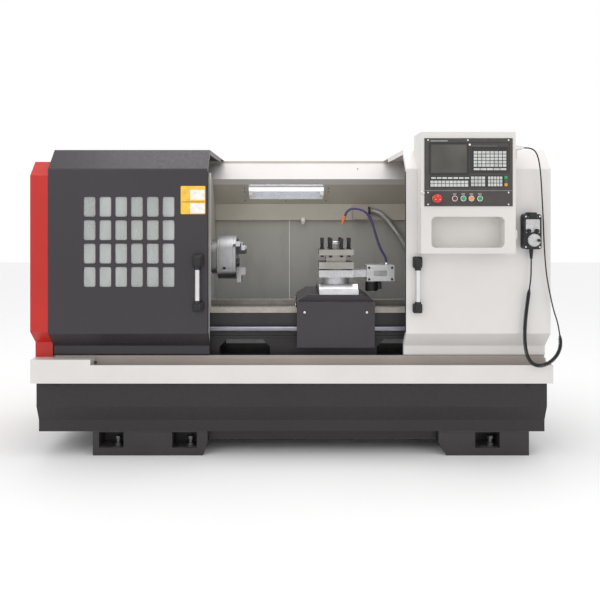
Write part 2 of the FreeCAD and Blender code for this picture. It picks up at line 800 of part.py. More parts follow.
def cabinet():
    x1 = cabinet_x0 + cabinet_width
    d0 = back_wall_d + sheet
    d1 = machine_depth - door_sheet - running_gap
    t = sheet
    case = box(cabinet_x0, x1, d0, d1, cabinet_bottom, cabinet_top)
    inside = box(cabinet_x0 + t, x1 - t, d0 + t, d1 + 1, cabinet_bottom + t, cabinet_top - t)
    p = plate_inset
    plate = box(cabinet_x0 + p, x1 - p, d0 + t, d0 + t + plate_thickness, cabinet_bottom + p, cabinet_top - p)
    louvres = [box(cabinet_x0 - 1, cabinet_x0 + t + 1, d0 + louvre_inset, d1 - louvre_inset, z, z + louvre_height)
               for z in (cabinet_bottom + louvre_start + i * louvre_pitch for i in range(louvre_count))]
    hinges = [hinge(x1 + hinge_offset, machine_depth - door_sheet, 1, low) for low in cabinet_hinge_heights]
    fixed = [pair[1] for pair in hinges]
    save("cabinet_body", joined(case.cut([inside] + louvres), plate, *fixed))
    door = box(cabinet_x0, x1, machine_depth - door_sheet, machine_depth, cabinet_bottom, cabinet_top)
    hollow = box(cabinet_x0 + t, x1 - t, machine_depth - door_sheet - 1, machine_depth - t,
                 cabinet_bottom + t, cabinet_top - t)
    save("cabinet_door", joined(door.cut(hollow), *[pair[0] for pair in hinges]))


pump_x = -500
pump_radius = 40
pump_height = 330          # above the tray's floor
pump_body_base = 60
pump_inlet_radius = 24
pump_flange_base = 180
pump_flange_height = 12
pump_flange_lip = 3
elbow_radius = 12
elbow_height = 160
elbow_reach = 90


def coolant_pump():
    d = (back_wall_d + sheet + tray_depth - tray_sheet) / 2
    body = rod_z(pump_radius, tray_floor + pump_body_base, tray_floor + pump_height, pump_x, d)
    inlet = rod_z(pump_inlet_radius, tray_floor, tray_floor + pump_body_base + 1, pump_x, d)
    flange_z = tray_floor + pump_flange_base
    flange = rod_z(pump_radius + pump_flange_lip, flange_z, flange_z + pump_flange_height, pump_x, d)
    elbow = rod_x(elbow_radius, pump_x - elbow_reach, pump_x, d, tray_floor + elbow_height)
    save("coolant_pump", joined(body, inlet, flange, elbow))


# ---- sliding doors --------------------------------------------------------------------------

door_section = ((roof_depth, door_top), (door_bevel_d, door_top), (0, door_bevel_z), (0, door_waist_top),
                (door_waist_d, door_waist_bottom), (door_waist_d, door_bottom),
                (door_waist_d + door_hem, door_bottom))
flange_section = ((flange_end_d, door_top),) + door_section[1:6]


def rounded_folds(folded, length):
    # Rounds the folds of a sheet that runs along X: outside by the bend radius, inside by less.
    outside = door_section[1:-1]
    inside = moved_aside(list(door_section), sheet)[1:-1]
    for radius, corners in ((bend_radius, outside), (bend_radius - sheet, inside)):
        edges = [e for e in folded.Edges if abs(e.BoundBox.XLength - length) < 0.01
                 and any(hypot(e.CenterOfMass.y - d, e.CenterOfMass.z - z) < 0.01 for d, z in corners)]
        if edges:
            folded = folded.makeFillet(radius, edges)
    return folded


def door_shell(x0, x1):
    # One folded sheet with a stiffening flange down each side.
    skin = rounded_folds(folded_sheet(list(door_section), sheet, x0, x1), x1 - x0)
    flanges = [rounded_folds(folded_sheet(list(flange_section), door_flange, x, x + sheet), sheet)
               for x in (x0, x1 - sheet)]
    return joined(skin, *flanges)


def left_door():
    shell = door_shell(left_door_x0, left_door_x1)
    holes = []
    for column in range(window_columns):
        for row in range(window_rows):
            x0 = left_door_x0 + window_left + column * window_pitch_x
            z0 = window_bottom + row * window_pitch_z
            holes.append(rounded_block(x0, x0 + window_hole_width, -1, sheet + 1, z0, z0 + window_hole_height,
                                       window_corner, "d"))
    save("left_door_panel", shell.cut(holes))
    x0 = left_door_x0 + window_left - pane_margin
    x1 = x0 + (window_columns - 1) * window_pitch_x + window_hole_width + 2 * pane_margin
    z1 = window_bottom + (window_rows - 1) * window_pitch_z + window_hole_height + pane_margin
    save("left_door_window", box(x0, x1, sheet, 2 * sheet, window_bottom - pane_margin, z1))
    x1 = left_door_x1 - left_handle_inset
    handle("left_door_handle", x1 - left_handle_width, x1, left_handle_z)


left_handle_z = (774, 822, 1003, 1070)
right_handle_z = (767, 816, 1000, 1059)
left_handle_inset = 21      # from the door's inner edge
left_handle_width = 55
right_handle_inset = 32
right_handle_width = 48
handle_corner = 8
handle_reach = 48
grip_radius = 13


def handle(node, x0, x1, heights):
    # Two end blocks on the door with a round grip between them.
    low, low_top, high_bottom, high = heights
    blocks = [rounded_block(x0, x1, -handle_reach, 0, z0, z1, handle_corner, "d")
              for z0, z1 in ((low, low_top), (high_bottom, high))]
    grip = rod_z(grip_radius, low_top - 10, high_bottom + 10, (x0 + x1) / 2, -handle_reach + grip_radius + 4)
    save(node, joined(blocks[0], blocks[1], grip))


box_x0 = right_door_x0 + box_offset
box_x1 = box_x0 + box_width


def right_door():
    shell = door_shell(right_door_x0, right_door_x1)
    box_hole = box(box_x0 - fit_gap, box_x1 + fit_gap, -1, box_back + fit_gap, box_bottom - fit_gap, box_top)
    save("right_door_panel", shell.cut(box_hole))
    x0 = right_door_x0 + right_handle_inset
    handle("right_door_handle", x0, x0 + right_handle_width, right_handle_z)


# ---- control box on the right door ----------------------------------------------------------

plate_x0 = box_x0 + 16
plate_x1 = box_x1 - 16
plate_z0 = box_bottom + 239
plate_z1 = box_top - 32
plate_depth = 3
screen_x0 = box_x0 + 50
screen_width = 180
screen_z0 = box_bottom + 408
screen_height = 142
pocket_x0 = box_x0 + 52
pocket_box_width = 370
pocket_z0 = box_bottom + 29
pocket_height = 157
pocket_box_depth = 90
pocket_corner = 25
button_z = box_bottom + 278
stop_x = box_x0 + 77
button_places = {"button_red": 168, "button_green": 211, "button_amber": 252, "button_start": 295}
stem_radius = 8
key_fields = (             # x and z from the box's lower left corner, width, height
    (255, 415, 181, 122), (45, 372, 200, 18), (42, 334, 197, 37), (246, 336, 78, 56), (332, 336, 79, 56),
    (416, 336, 20, 56),
)
key_depth = 3
socket_z = box_top - 76
socket_d = -60
socket_reach = 57
housing_front = box_front + panel_depth + running_gap
lid_hinge_heights = (box_bottom + 73, box_bottom + 478)


def lid_hinges(part):
    # The moving (0) or fixed (1) halves of the lid's two hinges.
    return [hinge(box_x1 + hinge_offset, box_front + panel_depth, -1, low)[part] for low in lid_hinge_heights]


def control_box():
    t = sheet
    case = box(box_x0, box_x1, housing_front, box_back, box_bottom, box_top)
    inside = box(box_x0 + t, box_x1 - t, housing_front - 1, box_back - t, box_bottom + t, box_top - t)
    save("control_box", joined(case.cut(inside), *lid_hinges(1)))


def control_front():
    # Hinged front: a folded pan with the lower pocket let into it.
    t = sheet
    pan = box(box_x0, box_x1, box_front, box_front + panel_depth, box_bottom, box_top)
    hollow = box(box_x0 + t, box_x1 - t, box_front + t, box_front + panel_depth + 1, box_bottom + t, box_top - t)
    x0 = pocket_x0
    x1 = pocket_x0 + pocket_box_width
    z1 = pocket_z0 + pocket_height
    back = box_front + pocket_box_depth
    tub = rounded_block(x0 - t, x1 + t, box_front + t - 1, back + t, pocket_z0 - t, z1 + t, pocket_corner + t, "d")
    space = rounded_block(x0, x1, box_front - 1, back, pocket_z0, z1, pocket_corner, "d")
    front = joined(pan.cut(hollow), tub, *lid_hinges(0))
    save("control_front", front.cut([space] + stem_holes(box_front - 1, box_front + t + 1)))


def stem_holes(d0, d1):
    holes = [rod_d(button_radius - 3 + running_gap, d0, d1, box_x0 + offset, button_z)
             for offset in button_places.values()]
    return holes + [rod_d(stem_radius + running_gap, d0, d1, stop_x, button_z)]


def control_panel():
    face = box_front - plate_depth
    plate = box(plate_x0, plate_x1, face, box_front, plate_z0, plate_z1)
    window = box(screen_x0, screen_x0 + screen_width, face - 1, box_front + 1, screen_z0, screen_z0 + screen_height)
    rings = [rod_d(button_radius + 1, face - 4, face, box_x0 + offset, button_z)
             for offset in button_places.values()]
    collar = rod_d(stop_radius - 4, face - 8, face, stop_x, button_z)
    save("control_panel", joined(plate, collar, *rings).cut([window] + stem_holes(face - 9, box_front + 1)))
    g = fit_gap
    save("control_screen", box(screen_x0 + g, screen_x0 + screen_width - g, face + 1, box_front, screen_z0 + g,
                               screen_z0 + screen_height - g))
    keys = [box(box_x0 + x, box_x0 + x + width, face - key_depth, face, box_bottom + z, box_bottom + z + height)
            for x, z, width, height in key_fields]
    save("control_keys", *keys)


def push_buttons():
    face = box_front - plate_depth
    for node, offset in button_places.items():
        x = box_x0 + offset
        cap = rod_d(button_radius - 3, face - 8, box_front + sheet - 1, x, button_z)
        save(node, cap.makeChamfer(1, [e for e in cap.Edges if e.BoundBox.YMax < face - 7]))
    cap = rod_d(stop_radius, -stop_reach, -stop_reach + 20, stop_x, button_z)
    cap = cap.makeFillet(7, [e for e in cap.Edges if e.BoundBox.YMax < 1 - stop_reach])
    stem = rod_d(stem_radius, 19 - stop_reach, box_front + sheet + 4, stop_x, button_z)
    save("stop_button", joined(cap, stem))


# ---- hand pendant and its curly cable -------------------------------------------------------

pendant_x0 = right_door_x1 - 157
pendant_width = 89
pendant_z0 = 1099
pendant_height = 180
pendant_depth = 60
relief_x = pendant_x0 + 46
relief_length = 51
wheel_x = pendant_x0 + 48
wheel_z = pendant_z0 + 47
wheel_radius = 33
wheel_shaft = 6
knob_radius = 11
knob_shaft = 4
knob_z = pendant_z0 + 94
knob_offsets = {"axis_knob": 21, "step_knob": 62}
cable_radius = 3.5
coil_radius = 10.5

# Cable routes: (x, depth, z)
cable_route = (
    (1187, -60, 1618), (1218, -60, 1618), (1246, -58, 1604), (1263, -54, 1570), (1274, -49, 1520),
    (1283, -42, 1440), (1290, -36, 1345), (1296, -33, 1250), (1300, -31, 1150), (1306, -30, 1050),
    (1315, -30, 955), (1333, -30, 862), (1351, -30, 780), (1374, -30, 714), (1382, -30, 658),
)
coil_route = (
    (1382, -30, 658), (1388, -30, 616), (1380, -30, 572), (1356, -30, 534), (1320, -30, 506),
    (1279, -30, 494), (1240, -30, 506), (1214, -30, 546), (1203, -30, 602), (1201, -30, 672),
    (1206, -30, 748), (1215, -30, 822), (1226, -30, 895),
)
lead_route = ((1226, -30, 895), (1233.4, -30, 944), (1235, -30, 996), (1235, -30, 1048))


def pendant():
    x0 = pendant_x0
    x1 = pendant_x0 + pendant_width
    z1 = pendant_z0 + pendant_height
    body = rounded_block(x0, x1, -pendant_depth, 0, pendant_z0, z1, 14, "d")
    relief = Part.makeCone(cable_radius + 2, 11, relief_length, V(relief_x, -30, pendant_z0 - relief_length))
    holes = [rod_d(wheel_shaft + fit_gap, -pendant_depth - 1, -pendant_depth + 20, wheel_x, wheel_z)]
    holes += [rod_d(knob_shaft + fit_gap, -pendant_depth - 1, -pendant_depth + 14, x0 + offset, knob_z)
              for offset in knob_offsets.values()]
    save("pendant_body", joined(body, relief).cut(holes))
    face = -pendant_depth - running_gap
    wheel = rod_d(wheel_radius, face - 16, face, wheel_x, wheel_z)
    wheel = wheel.makeFillet(4, [e for e in wheel.Edges if e.Length > 150])
    crank = rod_d(6, face - 34, face - 15, wheel_x + 20, wheel_z)
    save("pendant_wheel", joined(wheel, crank, rod_d(wheel_shaft, face - 1, face + 19, wheel_x, wheel_z)))
    for node, offset in knob_offsets.items():
        knob = rod_d(knob_radius, face - 16, face, x0 + offset, knob_z)
        fin = box(x0 + offset - 3, x0 + offset + 3, face - 20, face - 15, knob_z - 10, knob_z + 10)
        save(node, joined(knob, fin, rod_d(knob_shaft, face - 1, face + 13, x0 + offset, knob_z)))


def pendant_cable():
    x1 = box_x1
    ring = rod_x(15, x1, x1 + 26, socket_d, socket_z)
    plug = rod_x(11, x1 + 25, x1 + 44, socket_d, socket_z)
    tail = Part.makeCone(9, cable_radius + 2, socket_reach - 43, V(x1 + 43, socket_d, socket_z), V(1, 0, 0))
    save("cable_socket", joined(ring, plug, tail))
    save("pendant_cable", tube_along(cable_route, cable_radius, "pendant_cable"),
         tube_along(lead_route, cable_radius, "pendant_lead"))
    save("pendant_coil", tube_along(coil_route, coil_radius, "pendant_coil"))


# ---- carriage, cross slide, tool post and tailstock -----------------------------------------

keeper_drop = 32
column_radius = 75
base_bottom = 931
drive_x0 = 414
drive_x1 = 565
drive_d0 = 215
drive_d1 = 335
hose_radius = 7
hose_d = 300
nozzle_length = 44
hose_route = ((532, 996), (532, 1028), (506, 1068), (487, 1114), (471, 1164), (456, 1217), (440, 1261), (412, 1294),
              (372, 1310), (330, 1310), (305, 1288), (296, 1262))


def carriage():
    x0 = carriage_x0
    x1 = carriage_x0 + carriage_width
    back = bed_front + bed_width
    deck = box(x0, x1, bed_front - 2, back + 38, bed_way_top + running_gap, saddle_top)
    keeper = box(x0, x1, back + running_gap, back + 38, bed_way_top - keeper_drop, bed_way_top + 2)
    wing = [(x0 - 1, saddle_top - 36), (x0 - 1, saddle_top + 1), (x0 + 60, saddle_top + 1)]
    wing_right = [(x1 + 1, saddle_top - 36), (x1 + 1, saddle_top + 1), (x1 - 60, saddle_top + 1)]
    bevels = [prism_d(points, bed_front - 3, back + 39) for points in (wing, wing_right)]
    save("saddle", joined(deck, keeper).cut(bevels))
    t = sheet
    shell = box(x0, x1, apron_front, bed_front - 2, apron_bottom, apron_top)
    inside = box(x0 + t, x1 - t, apron_front + t, bed_front, apron_bottom - 1, apron_top - t)
    notch = box(x0 - 1, x1 + 1, rail_d - rail_radius - 5, bed_front, 604, rail_z + rail_radius + 10)
    save("apron_cover", shell.cut([inside, notch]))


def cross_slide():
    x1 = slide_x0 + slide_width
    block = box(slide_x0, x1, slide_d0, slide_d0 + slide_length, saddle_top + running_gap, slide_top)
    nose = [(slide_d0 - 1, slide_top - 30), (slide_d0 + 34, slide_top + 1), (slide_d0 - 1, slide_top + 1)]
    save("cross_slide", block.cut(prism_x(nose, slide_x0 - 1, x1 + 1)))


def turret_drive():
    half = post_size / 2
    column = rod_z(column_radius, slide_top, base_bottom + 1, post_x, post_d)
    base = box(post_x - half, post_x + half, post_d - half, post_d + half, base_bottom, post_bottom - 7)
    spigot = rod_z(column_radius - 5, post_bottom - 8, post_bottom - running_gap, post_x, post_d)
    neck = box(post_x + half - 1, drive_x0 + 1, drive_d0 + 15, drive_d1 - 15, base_bottom, post_bottom - 9)
    case = rounded_block(drive_x0, drive_x1, drive_d0, drive_d1, 907, hose_route[0][1], 6, "x")
    motor = rod_z(33, 850, 908, drive_x0 + 32, (drive_d0 + drive_d1) / 2)
    save("turret_drive", joined(column, base, spigot, neck, case, motor))


def coolant_hose():
    route = [(x, hose_d, z) for x, z in hose_route]
    tube = tube_along(route, hose_radius, "coolant_hose")
    (x0, z0), (x1, z1) = hose_route[-2:]
    heading = V(x1 - x0, 0, z1 - z0).normalize()
    nozzle = Part.makeCone(hose_radius + 1, 3, nozzle_length, V(x1, hose_d, z1), heading)
    save("coolant_hose", joined(tube, nozzle))


def tool_post():
    half = post_size / 2
    core = post_core / 2
    block = box(post_x - half, post_x + half, post_d - half, post_d + half, post_bottom, post_top)
    ring = box(post_x - half - 1, post_x + half + 1, post_d - half - 1, post_d + half + 1, slot_bottom, slot_top)
    ring = ring.cut(box(post_x - core, post_x + core, post_d - core, post_d + core, slot_bottom - 1, slot_top + 1))
    hub = rod_z(hub_radius, post_top - 1, hub_top, post_x, post_d)
    places = clamp_places()
    holes = [rod_z(clamp_screw_radius + fit_gap, slot_top - 1, post_top + 1, x, d) for x, d in places]
    save("turret_head", joined(block.cut(ring), hub).cut(holes))
    screws = []
    for x, d in places:
        shank = rod_z(clamp_screw_radius, slot_top - 12, clamp_screw_top - 20, x, d)
        head = box(x - 9, x + 9, d - 9, d + 9, clamp_screw_top - 24, clamp_screw_top)
        collar = rod_z(clamp_screw_radius + 3, post_top, post_top + 8, x, d)
        screws.append(joined(shank, head, collar))
    save("turret_screws", *screws)


def clamp_places():
    inset = post_size / 2 - clamp_screw_inset
    spread = clamp_screw_offset
    return [(post_x + sx * a, post_d + sd * b) for a, b in ((inset, spread), (spread, inset))
            for sx in (1, -1) for sd in (1, -1)]


def tailstock():
    x0 = tail_x0
    x1 = tail_x0 + tail_length
    half = tail_width / 2
    foot_block = box(x0, x1, spindle_d - half, spindle_d + half, bed_way_top + running_gap, bed_way_top + 60)
    web = [(spindle_d - half + 20, bed_way_top + 59), (spindle_d - 75, spindle_z), (spindle_d + 75, spindle_z),
           (spindle_d + half - 20, bed_way_top + 59)]
    barrel = rod_x(75, x0, x1, spindle_d, spindle_z)
    bore = rod_x(quill_radius + fit_gap, x0 - 1, x1 + 1, spindle_d, spindle_z)
    save("tailstock_body", joined(foot_block, prism_x(web, x0, x1), barrel).cut(bore))
    quill = rod_x(quill_radius, x0 - quill_reach, x1, spindle_d, spindle_z)
    taper = Part.makeCone(2, 20, centre_length, V(x0 - quill_reach - centre_length, spindle_d, spindle_z), V(1, 0, 0))
    save("tailstock_quill", joined(quill, taper))


feet()
stand()
chip_tray()
front_track()
end_cover()
spindle()
chuck()
jaws()
belt_drive()
bed()
headstock()
headstock_guard()
tail_guard()
rear_guard()
canopy()
lamp()
conduit()
cabinet()
coolant_pump()
left_door()
right_door()
control_box()
control_front()
control_panel()
push_buttons()
pendant()
pendant_cable()
carriage()
cross_slide()
turret_drive()
coolant_hose()
tool_post()
tailstock()
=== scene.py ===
import math

import bmesh
import bpy
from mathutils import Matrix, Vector


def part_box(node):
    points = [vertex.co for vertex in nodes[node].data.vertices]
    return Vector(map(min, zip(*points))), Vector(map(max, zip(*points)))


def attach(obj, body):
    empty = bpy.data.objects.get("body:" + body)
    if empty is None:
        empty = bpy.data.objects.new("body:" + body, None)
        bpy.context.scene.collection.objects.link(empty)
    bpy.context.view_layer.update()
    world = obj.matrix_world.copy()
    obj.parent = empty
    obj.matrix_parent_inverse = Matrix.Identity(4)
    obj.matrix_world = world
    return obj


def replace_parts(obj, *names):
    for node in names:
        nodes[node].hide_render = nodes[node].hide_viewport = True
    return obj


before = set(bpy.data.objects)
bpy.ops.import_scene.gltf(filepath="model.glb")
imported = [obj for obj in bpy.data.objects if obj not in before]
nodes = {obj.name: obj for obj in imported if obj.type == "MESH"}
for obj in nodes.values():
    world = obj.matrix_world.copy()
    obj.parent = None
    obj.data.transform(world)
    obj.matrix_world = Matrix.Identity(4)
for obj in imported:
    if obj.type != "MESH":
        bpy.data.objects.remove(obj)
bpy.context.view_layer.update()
print("frame loaded:", len(nodes), "nodes")

mm = 0.001
yShift = -0.5          # the doors' front plane stands at y = -0.5


def place(x, d, z):
    # millimetres, with d measured back from the doors' front plane
    return Vector((x * mm, d * mm + yShift, z * mm))


# ---- node wrappers ----

class Socket:
    # a node's output that can be used in sums
    def __init__(self, graph, link):
        self.graph = graph
        self.link = link

    def maths(self, operation, *others):
        return self.graph.add("ShaderNodeMath", {"operation": operation}, dict(enumerate((self,) + others)))

    def __rsub__(self, other):
        return self.graph.add("ShaderNodeMath", {"operation": "SUBTRACT"}, {0: other, 1: self})


# the signs that stand for one node each
for sign, operation in {"add": "ADD", "radd": "ADD", "mul": "MULTIPLY", "rmul": "MULTIPLY", "sub": "SUBTRACT",
                        "truediv": "DIVIDE", "gt": "GREATER_THAN", "lt": "LESS_THAN"}.items():
    setattr(Socket, f"__{sign}__", lambda self, other, operation=operation: self.maths(operation, other))


class Graph:
    # a shader or geometry tree that is built by calls
    def __init__(self, tree):
        self.tree = tree

    def add(self, kind, settings=None, sockets=None, out=0):
        node = self.tree.nodes.new(kind)
        for key, value in (settings or {}).items():
            if key == "stops":
                while len(node.color_ramp.elements) < len(value):
                    node.color_ramp.elements.new(0.5)
                for element, (position, color) in zip(node.color_ramp.elements, value):
                    element.position = position
                    element.color = color
            else:
                setattr(node, key, value)
        for key, value in (sockets or {}).items():
            if isinstance(value, Socket):
                self.tree.links.new(value.link, node.inputs[key])
            elif value is not None:
                node.inputs[key].default_value = value
        return Socket(self, node.outputs[out])


def opaque(color):
    return (color[0], color[1], color[2], 1.0)


class Finish(Graph):
    # one material; constants sit on the shader's own sockets
    def __init__(self, name, color, roughness, **constants):
        self.material = bpy.data.materials.new(name)
        self.material.use_nodes = True
        super().__init__(self.material.node_tree)
        self.shader = next(n for n in self.tree.nodes if n.type == "BSDF_PRINCIPLED")
        self.shader.inputs["Base Color"].default_value = opaque(color)
        self.shader.inputs["Roughness"].default_value = roughness
        for key, value in constants.items():
            self.shader.inputs[key.replace("_", " ")].default_value = value
        self.object = self.add("ShaderNodeTexCoord", out=3)

    def feed(self, name, value):
        self.tree.links.new(value.link, self.shader.inputs[name])

    def noise(self, scale, detail=3.0, stretch=(1, 1, 1), roughness=0.5):
        at = self.add("ShaderNodeMapping", sockets={"Vector": self.object, "Scale": stretch})
        return self.add("ShaderNodeTexNoise", sockets={"Vector": at, "Scale": scale, "Detail": detail,
                                                       "Roughness": roughness})

    def spread(self, value, low, high, start=0.35, end=0.65):
        # maps a noise between two limits
        return self.add("ShaderNodeMapRange", {}, {"Value": value, "From Min": start, "From Max": end,
                                                   "To Min": low, "To Max": high})

    def axis(self, name):
        return self.add("ShaderNodeSeparateXYZ", sockets={0: self.object}, out="XYZ".index(name))

    def normalPart(self, name):
        normal = self.add("ShaderNodeNewGeometry", out=1)
        return self.add("ShaderNodeSeparateXYZ", sockets={0: normal}, out="XYZ".index(name))

    def blend(self, factor, first, second):
        first = opaque(first) if isinstance(first, tuple) else first
        second = opaque(second) if isinstance(second, tuple) else second
        return self.add("ShaderNodeMix", {"data_type": "RGBA"}, {0: factor, 6: first, 7: second}, out=2)

    def bump(self, height, strength, distance):
        return self.add("ShaderNodeBump", sockets={"Height": height, "Strength": strength, "Distance": distance})


def shade(color, factor):
    return tuple(min(1.0, part * factor) for part in color)


def tone(red, green, blue):
    # screen colour to linear
    return tuple(((part / 255 + 0.055) / 1.055) ** 2.4 if part > 10 else part / 3295 for part in (red, green, blue))


# ---- finishes ----

dustColor = (0.55, 0.53, 0.5)


def paint(name, color, roughness=0.38, peel=0.25, dust=0.12, coat=0.25, mottle=0.1):
    # sprayed metal: cloudy tone, orange peel, uneven gloss and a little dust on what faces up
    f = Finish(name, color, roughness, Coat_Weight=coat, Coat_Roughness=0.18)
    cloud = f.noise(3.0, 4.0)
    grain = f.noise(60.0, 2.0)
    tint = f.blend(f.spread(cloud, 0.0, 1.0), shade(color, 1 - mottle), shade(color, 1 + mottle))
    dusty = (f.normalPart("Z") > 0.7) * f.spread(f.noise(22.0, 5.0), 0.0, dust)
    f.feed("Base Color", f.blend(dusty, tint, dustColor))
    f.feed("Roughness", f.spread(grain, roughness - 0.05, roughness + 0.07) + dusty * 0.8)
    f.feed("Normal", f.bump(f.noise(520.0, 1.0), peel, 0.0006))
    return f.material


def canopyPaintAndShade():
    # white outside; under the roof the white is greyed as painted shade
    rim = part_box("canopy")[0][1] + 0.03
    outside, underRoofShade = tone(210, 207, 205), tone(192, 185, 172)
    f = Finish("canopyPaintAndShade", outside, 0.38, Coat_Weight=0.2, Coat_Roughness=0.18)
    # painted shade: faces behind the rim that face neither up nor to the rear
    shadeMask = (f.axis("Y") > rim) * (1 - (f.normalPart("Z") > 0.25)) * (1 - (f.normalPart("Y") > 0.5))
    cloud = f.spread(f.noise(3.0, 4.0), 0.0, 1.0)
    white = f.blend(cloud, shade(outside, 0.975), shade(outside, 1.025))
    shadedGrey = f.blend(cloud, shade(underRoofShade, 0.92), shade(underRoofShade, 1.06))
    f.feed("Base Color", f.blend(shadeMask, white, shadedGrey))
    f.feed("Roughness", f.spread(f.noise(60.0, 2.0), 0.33, 0.45))
    f.feed("Normal", f.bump(f.noise(520.0, 1.0), 0.25, 0.0006))
    return f.material


def machined(name, color, roughness=0.3, lines=(1, 60, 60), metallic=1.0, stain=0.15):
    # turned or ground steel: fine lines across one direction, faint stains
    f = Finish(name, color, roughness, Metallic=metallic)
    streak = f.noise(22.0, 4.0, lines)
    patch = f.noise(9.0, 4.0)
    worn = f.blend(f.spread(patch, 0.0, 1.0), shade(color, 1 - stain), shade(color, 1 + stain))
    f.feed("Base Color", f.blend(f.spread(streak, 0.0, 0.5), worn, shade(color, 0.7)))
    f.feed("Roughness", f.spread(streak, roughness - 0.08, roughness + 0.14) + f.spread(patch, 0.0, 0.08))
    f.feed("Normal", f.bump(streak, 0.18, 0.0004))
    return f.material


def moulded(name, color, roughness=0.5, grainScale=900.0, bump=0.2, coat=0.0):
    # moulded plastic or rubber with a fine spark-eroded grain
    f = Finish(name, color, roughness, Coat_Weight=coat)
    patch = f.noise(30.0, 3.0)
    f.feed("Base Color", f.blend(f.spread(patch, 0.0, 1.0), shade(color, 0.88), shade(color, 1.12)))
    f.feed("Roughness", f.spread(patch, roughness - 0.06, roughness + 0.08))
    f.feed("Normal", f.bump(f.noise(grainScale, 2.0), bump, 0.0003))
    return f.material


def castBed():
    # dark painted casting whose ways are ground bright, with a pale strip along their front
    wayTop, wayFront, rib = 0.7705, 0.743, 0.611
    dark, pale, bright = tone(40, 37, 39), tone(172, 163, 154), (0.86, 0.85, 0.83)
    f = Finish("bedCasting", dark, 0.5)
    height = f.axis("Z")
    cast = f.noise(140.0, 4.0)
    lines = f.noise(30.0, 3.0, (0.6, 60, 1))
    patch = f.noise(6.0, 3.0)
    ground = (height > wayTop) * (f.normalPart("Z") > 0.7)
    front = (height > wayFront) * (1 - ground)
    body = f.blend(f.spread(patch, 0.0, 1.0), shade(dark, 0.8), shade(dark, 1.2))
    strip = f.blend(f.spread(lines, 0.0, 1.0), shade(pale, 0.85), shade(pale, 1.1))
    steel = f.blend(f.spread(lines, 0.0, 1.0), shade(bright, 0.8), bright)
    f.feed("Base Color", f.blend(ground, f.blend(front, body, strip), steel))
    f.feed("Metallic", ground * 0.95)
    f.feed("Roughness", f.spread(cast, 0.42, 0.6) - ground * 0.22 + (height < rib) * 0.05)
    f.feed("Normal", f.bump(cast * (1 - ground) + lines * ground * 0.3, 0.35, 0.0008))
    return f.material


def guardSheet():
    # pale grey-green sheet, browner high up and bluer low down
    upper, lower = tone(176, 173, 164), tone(168, 171, 173)
    fadeLow, fadeHigh = 0.45, 1.2
    f = Finish("guardSheet", upper, 0.42, Coat_Weight=0.15)
    height = f.axis("Z")
    cloud = f.noise(2.5, 4.0)
    fade = f.add("ShaderNodeMapRange", {}, {"Value": height, "From Min": fadeLow, "From Max": fadeHigh})
    base = f.blend(fade, lower, upper)
    splash = f.spread(f.noise(14.0, 6.0, (1, 1, 0.35)), 0.0, 0.22, 0.5, 0.75)
    tint = f.blend(splash, base, tone(112, 108, 98))
    tint = f.blend(f.spread(cloud, 0.0, 0.12), tint, tone(196, 196, 190))
    f.feed("Base Color", tint)
    f.feed("Roughness", f.spread(cloud, 0.36, 0.5) + splash * 0.4)
    f.feed("Normal", f.bump(f.noise(480.0, 1.0), 0.2, 0.0005))
    return f.material


def clearPane():
    f = Finish("clearPane", (0.74, 0.77, 0.76), 0.12, Metallic=0.0)
    smear = f.noise(7.0, 5.0, (1, 1, 0.4))
    f.feed("Alpha", f.spread(smear, 0.3, 0.46))
    f.feed("Roughness", f.spread(smear, 0.06, 0.22))
    return f.material


def darkScreen():
    # an unlit display: a faint sheen that changes across the glass
    f = Finish("darkScreen", tone(70, 68, 64), 0.16, Coat_Weight=0.3, Coat_Roughness=0.05)
    cloud = f.noise(5.0, 2.0)
    f.feed("Base Color", f.blend(f.spread(cloud, 0.0, 1.0), tone(66, 63, 59), tone(86, 83, 78)))
    f.feed("Roughness", f.spread(f.noise(40.0, 3.0), 0.12, 0.26))
    return f.material


def glowTube():
    f = Finish("glowTube", (0.9, 0.9, 0.88), 0.35, Emission_Color=(1.0, 0.98, 0.94, 1.0), Emission_Strength=0.7)
    f.feed("Roughness", f.spread(f.noise(40.0, 2.0), 0.3, 0.45))
    f.feed("Base Color", f.blend(f.spread(f.noise(12.0, 2.0), 0.0, 1.0), (0.86, 0.86, 0.84), (0.93, 0.93, 0.91)))
    return f.material


